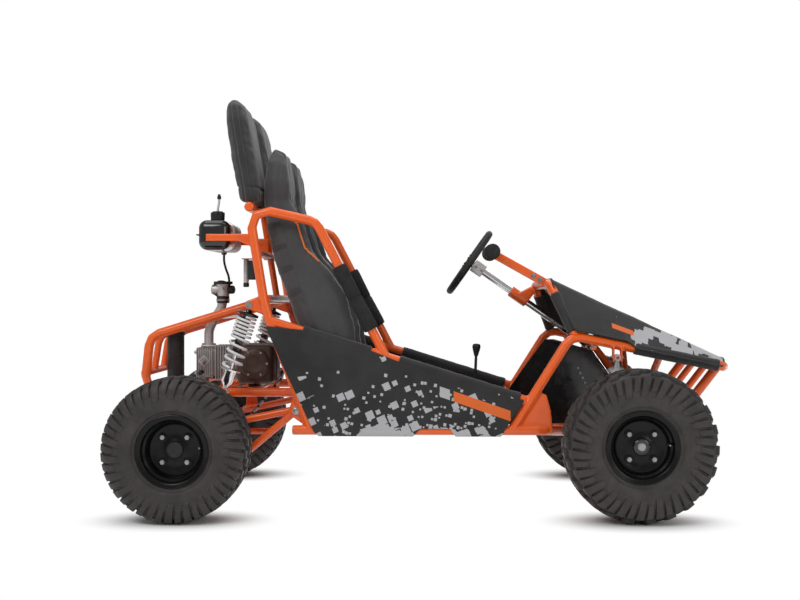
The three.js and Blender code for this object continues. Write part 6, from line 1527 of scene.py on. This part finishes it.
# Lower and upper edges of the side panel: [x, z]
PANEL_LOW = [(-0.5150, 0.6133), (-0.4567, 0.4813), (-0.3562, 0.2681), (-0.3401, 0.2541), (-0.0323, 0.2533),
             (-0.0092, 0.2780), (0.0887, 0.2780), (0.1057, 0.2533), (0.2543, 0.2533), (0.2689, 0.2778),
             (0.3315, 0.3713)]
PANEL_HIGH = [(-0.5150, 0.6133), (-0.4275, 0.6036), (-0.3932, 0.6009), (-0.1713, 0.5341), (-0.0872, 0.5001),
              (0.1261, 0.4345), (0.3315, 0.3713)]
# Folds in the side panel: [x and z of each end, half width, height]
PANEL_FOLDS = [(-0.49, 0.60, -0.33, 0.30, 0.020, 0.0042), (-0.44, 0.59, -0.24, 0.36, 0.016, 0.0034),
               (-0.36, 0.27, -0.20, 0.50, 0.024, 0.0030), (-0.30, 0.585, -0.13, 0.44, 0.013, 0.0036),
               (-0.18, 0.27, -0.02, 0.46, 0.022, 0.0026), (-0.08, 0.495, 0.06, 0.36, 0.013, 0.0032),
               (0.02, 0.29, 0.22, 0.40, 0.018, 0.0030), (0.16, 0.42, 0.26, 0.29, 0.012, 0.0030),
               (-0.40, 0.50, -0.10, 0.30, 0.015, 0.0022)]


def line_at(points, x):
    return float(np.interp(x, [p[0] for p in points], [p[1] for p in points]))


def fold_height(x, z, folds):
    lift = 0.0
    for x0, z0, x1, z1, wide, high in folds:
        dx, dz = x1 - x0, z1 - z0
        t = ((x - x0) * dx + (z - z0) * dz) / (dx * dx + dz * dz)
        gap = abs((x - x0) * dz - (z - z0) * dx) / math.hypot(dx, dz)
        ends = max(0.0, 1 - abs(2 * t - 1) ** 2)
        lift += high * ends * math.exp(-(gap / wide) ** 2)
    return lift


def grid_sheet(name, rows, thick, away, material):
    """Closed thin sheet over rows of points; away gives the direction that the thickness grows in."""
    tall, wide = len(rows), len(rows[0])
    points = [p for row in rows for p in row]
    points += [p - away(p) * thick for row in rows for p in row]
    base = tall * wide
    faces = []
    for i in range(tall - 1):
        for j in range(wide - 1):
            a, b, c, d = i * wide + j, i * wide + j + 1, (i + 1) * wide + j + 1, (i + 1) * wide + j
            faces += [(a, b, c, d), (base + a, base + d, base + c, base + b)]
    rim = [(0, j) for j in range(wide)] + [(i, wide - 1) for i in range(1, tall)]
    rim += [(tall - 1, j) for j in range(wide - 2, -1, -1)] + [(i, 0) for i in range(tall - 2, 0, -1)]
    for k, (i, j) in enumerate(rim):
        m, n = rim[(k + 1) % len(rim)]
        a, b = i * wide + j, m * wide + n
        faces.append((a, base + a, base + b, b))
    return outward_faces(make(name, points, faces, material))


def add_side_panel(name, side):
    columns, lines = 210, 76
    xs = np.linspace(PANEL_LOW[0][0] + 0.004, PANEL_LOW[-1][0] - 0.004, columns)
    rows = []
    for j in range(lines):
        v = j / (lines - 1)
        row = []
        for x in xs:
            low, high = line_at(PANEL_LOW, x), line_at(PANEL_HIGH, x)
            z = low + (high - low) * v
            edge = min(z - low, high - z, x - xs[0] + 0.004, xs[-1] + 0.004 - x)
            calm = min(1, max(edge, 0) / 0.03)
            lift = fold_height(x, z, PANEL_FOLDS) * calm
            lift += 0.0022 * calm * (noise.fractal(Vector((x * 16, side, z * 16)), 1.0, 2.0, 4) + 0.2)
            hem = 0.0011 if 0.004 < edge < 0.016 else 0
            row.append(Vector((x, side * (PANEL_FACE + 0.0008 + max(lift, -0.0012) + hem), z)))
        rows.append(row)
    piece = grid_sheet(f"side_panel_{name}_cloth", rows, 0.0020, lambda p: Vector((0, side, 0)), panel_cloth)
    dress(piece, "chassis", "panel_fabric", f"side_panel_{name}")
    for number, (start, end) in enumerate(((-0.3932, -0.1713), (-0.0779, 0.3155))):
        route, radii = [], []
        for k in range(61):
            t = (start + (end - start) * k / 60 - RAIL_REAR.x) / (RAIL_FRONT.x - RAIL_REAR.x)
            place = RAIL_REAR.lerp(RAIL_FRONT, t)
            route.append(Vector((place.x, side * FRAME_HALF, place.z)))
            hem = 0.0008 if k in (2, 58) else 0
            crease = noise.fractal(Vector((place.x * 34, side * 3, number)), 1.0, 2.0, 3)
            radii.append(0.0192 + hem + 0.0011 * crease)
        sleeve = sweep(f"side_panel_{name}_sleeve_{number}", route, radii, sleeve_cloth, 32)
        dress(sleeve, "chassis", "panel_fabric")


HOOD_REAR = [(0.4978, 0.390, 0.5794), (0.4330, 0.284, 0.7470), (0.4330, 0.262, 0.7690)]
HOOD_NOSE = [(0.9680, 0.390, 0.4835), (0.9850, 0.3496, 0.4869), (0.9900, 0.3281, 0.5065)]


def rounded(corners, reach, steps=6):
    """Polyline whose inner corners are rounded off over the reach."""
    route = [corners[0]]
    for before, corner, after in zip(corners, corners[1:], corners[2:]):
        a, b = before - corner, after - corner
        start = corner + a.normalized() * min(reach, a.length * 0.45)
        end = corner + b.normalized() * min(reach, b.length * 0.45)
        for k in range(steps + 1):
            t = k / steps
            route.append(start * (1 - t) ** 2 + corner * 2 * t * (1 - t) + end * t * t)
    return route + [corners[-1]]


def spaced(route, count):
    """Count points at equal spacing along a route."""
    lengths = np.concatenate([[0], np.cumsum([(b - a).length for a, b in zip(route, route[1:])])])
    marks = np.linspace(0, lengths[-1], count)
    coords = np.array([tuple(p) for p in route])
    return [Vector(p) for p in np.stack([np.interp(marks, lengths, coords[:, k]) for k in range(3)], axis=1)]


def hood_row(share, across=150):
    half = [Vector(a).lerp(Vector(b), share) for a, b in zip(HOOD_REAR, HOOD_NOSE)]
    ahead_of_shock = min(max((half[0].x - 0.655) / 0.05, 0), 1)
    half[0] += Vector((0, -0.005, 0.021)) * (1 - ahead_of_shock ** 2 * (3 - 2 * ahead_of_shock))
    corners = [Vector((p.x, -p.y, p.z)) for p in half] + [Vector(p) for p in reversed(half)]
    return spaced(rounded(corners, 0.030), across)


def add_hood():
    rows = []
    for i in range(96):
        share = i / 95
        row = hood_row(share)
        for j, p in enumerate(row):
            inside = math.sin(math.pi * share) * min(1, 8 * share)
            level = max(0, 1 - (abs(p.y) / 0.30) ** 2)
            drop = 0.0034 * inside * level + 0.0024 * inside * noise.fractal(p * 9, 1.0, 2.0, 4)
            flank = max(0, 1 - abs(abs(p.y) - 0.345) / 0.05) * inside
            drop -= 0.0040 * flank * math.sin(p.x * 52 + abs(p.y) * 30) * 0.5
            row[j] = p - UP * drop
        rows.append(row)

    def away(p):
        steep = 1 if abs(p.y) > 0.30 else 0.15
        return Vector((0.25, steep * math.copysign(0.9, p.y) if abs(p.y) > 0.24 else 0, 0.9)).normalized()

    piece = grid_sheet("hood_cover_cloth", rows, 0.0020, away, hood_cloth)
    dress(piece, "chassis", "panel_fabric", "hood_cover")
    hems = []
    edges = {"rear": rows[0], "nose": rows[-1], "right": [row[0] for row in rows],
             "left": [row[-1] for row in rows]}
    for label, route in edges.items():
        hems.append(dress(sweep(f"hood_hem_{label}", route, 0.0030, sleeve_cloth, 8), "chassis",
                          "panel_fabric"))
    hems += hood_sleeves()


# Floor, backdrop and light
SHADOW_LENGTH, SHADOW_WIDTH = 0.34, 0.22
WORLD_LIGHT = 0.38


def add_stage():
    floor = make("floor", [(-9, -9, 0), (9, -9, 0), (9, 9, 0), (-9, 9, 0)], [(0, 1, 2, 3)],
                 shader("floor", (0.9, 0.9, 0.9), 0.7), False)
    graph = Graph(floor.data.materials[0])
    graph.set("Base Color", graph.mix(graph.range(graph.noise(2), *NOISE_SPAN, 0, 1), (0.93, 0.93, 0.93),
                                      (0.95, 0.95, 0.95)))
    glow = graph.add("ShaderNodeEmission", {"Color": (1, 1, 1, 1)})
    x, y, _ = graph.axes()
    off_axles = graph.math("MINIMUM", graph.away(x, FRONT_AXLE_X), graph.away(x, REAR_AXLE_X))
    off_tracks = graph.away(graph.away(y), TRACK_Y)
    along = graph.math("POWER", graph.math("DIVIDE", off_axles, SHADOW_LENGTH), 2)
    across = graph.math("POWER", graph.math("DIVIDE", off_tracks, SHADOW_WIDTH), 2)
    fade = graph.range(graph.math("SQRT", graph.math("ADD", along, across), 0), 0.30, 1.0, 0, 1, smooth=True)
    path = graph.add("ShaderNodeLightPath")
    mirrored = graph.math("MAXIMUM", path.outputs["Is Glossy Ray"], path.outputs["Is Transmission Ray"])
    seen = graph.math("MAXIMUM", path.outputs["Is Camera Ray"], mirrored)
    blend = graph.add("ShaderNodeMixShader", {0: graph.math("MULTIPLY", fade, seen), 1: graph.bsdf.outputs[0],
                                              2: glow.outputs[0]})
    graph.link(blend.outputs[0], graph.tree.nodes["Material Output"].inputs["Surface"])

    world = bpy.data.worlds.new("world")
    world.use_nodes = True
    bpy.context.scene.world = world
    tree = world.node_tree
    soft, white = tree.nodes["Background"], tree.nodes.new("ShaderNodeBackground")
    for node, strength in ((soft, WORLD_LIGHT), (white, 1.0)):
        node.inputs["Color"].default_value = (1, 1, 1, 1)
        node.inputs["Strength"].default_value = strength
    ray = tree.nodes.new("ShaderNodeLightPath")
    mix = tree.nodes.new("ShaderNodeMixShader")
    tree.links.new(ray.outputs["Is Camera Ray"], mix.inputs[0])
    tree.links.new(soft.outputs[0], mix.inputs[1])
    tree.links.new(white.outputs[0], mix.inputs[2])
    tree.links.new(mix.outputs[0], tree.nodes["World Output"].inputs["Surface"])


def area_light(name, place, target, size, power):
    data = bpy.data.lights.new(name, "AREA")
    data.shape = "RECTANGLE"
    data.size, data.size_y = size
    data.energy = power
    lamp = bpy.data.objects.new(name, data)
    lamp.location = place
    lamp.rotation_euler = (Vector(target) - Vector(place)).to_track_quat("-Z", "Y").to_euler()
    bpy.context.scene.collection.objects.link(lamp)


def add_lights():
    area_light("key", (-2.2, -3.4, 3.6), (0, 0, 0.5), (2.4, 1.6), 66)
    area_light("fill", (3.2, -3.2, 1.8), (0, 0, 0.4), (2.0, 1.6), 28)
    area_light("top", (0, 0.2, 4.2), (0, 0, 0), (4.0, 3.0), 46)
    area_light("back", (0.5, 4.0, 2.4), (0, 0, 0.5), (3.0, 1.6), 28)


add_camera()
add_frames()
add_wheels()
add_shocks()
for name, side in SIDES:
    add_seat(name, side)
    add_headrest(name, side)
    add_foam(name, side)
    add_side_panel(name, side)
add_hood()
add_grab_bar()
add_tank()
add_engine()
add_carburettor()
add_muffler()
add_electrics()
add_steering()
add_shifter()
add_pedal("brake_pedal", 205)
add_pedal("throttle_pedal", 125)
add_axle()
add_chain()
add_knuckles()
for name, side in SIDES:
    add_tie_rod(name, side)
add_tub()
add_bolts()
add_stage()
add_lights()
bpy.context.scene.view_settings.view_transform = "Standard"
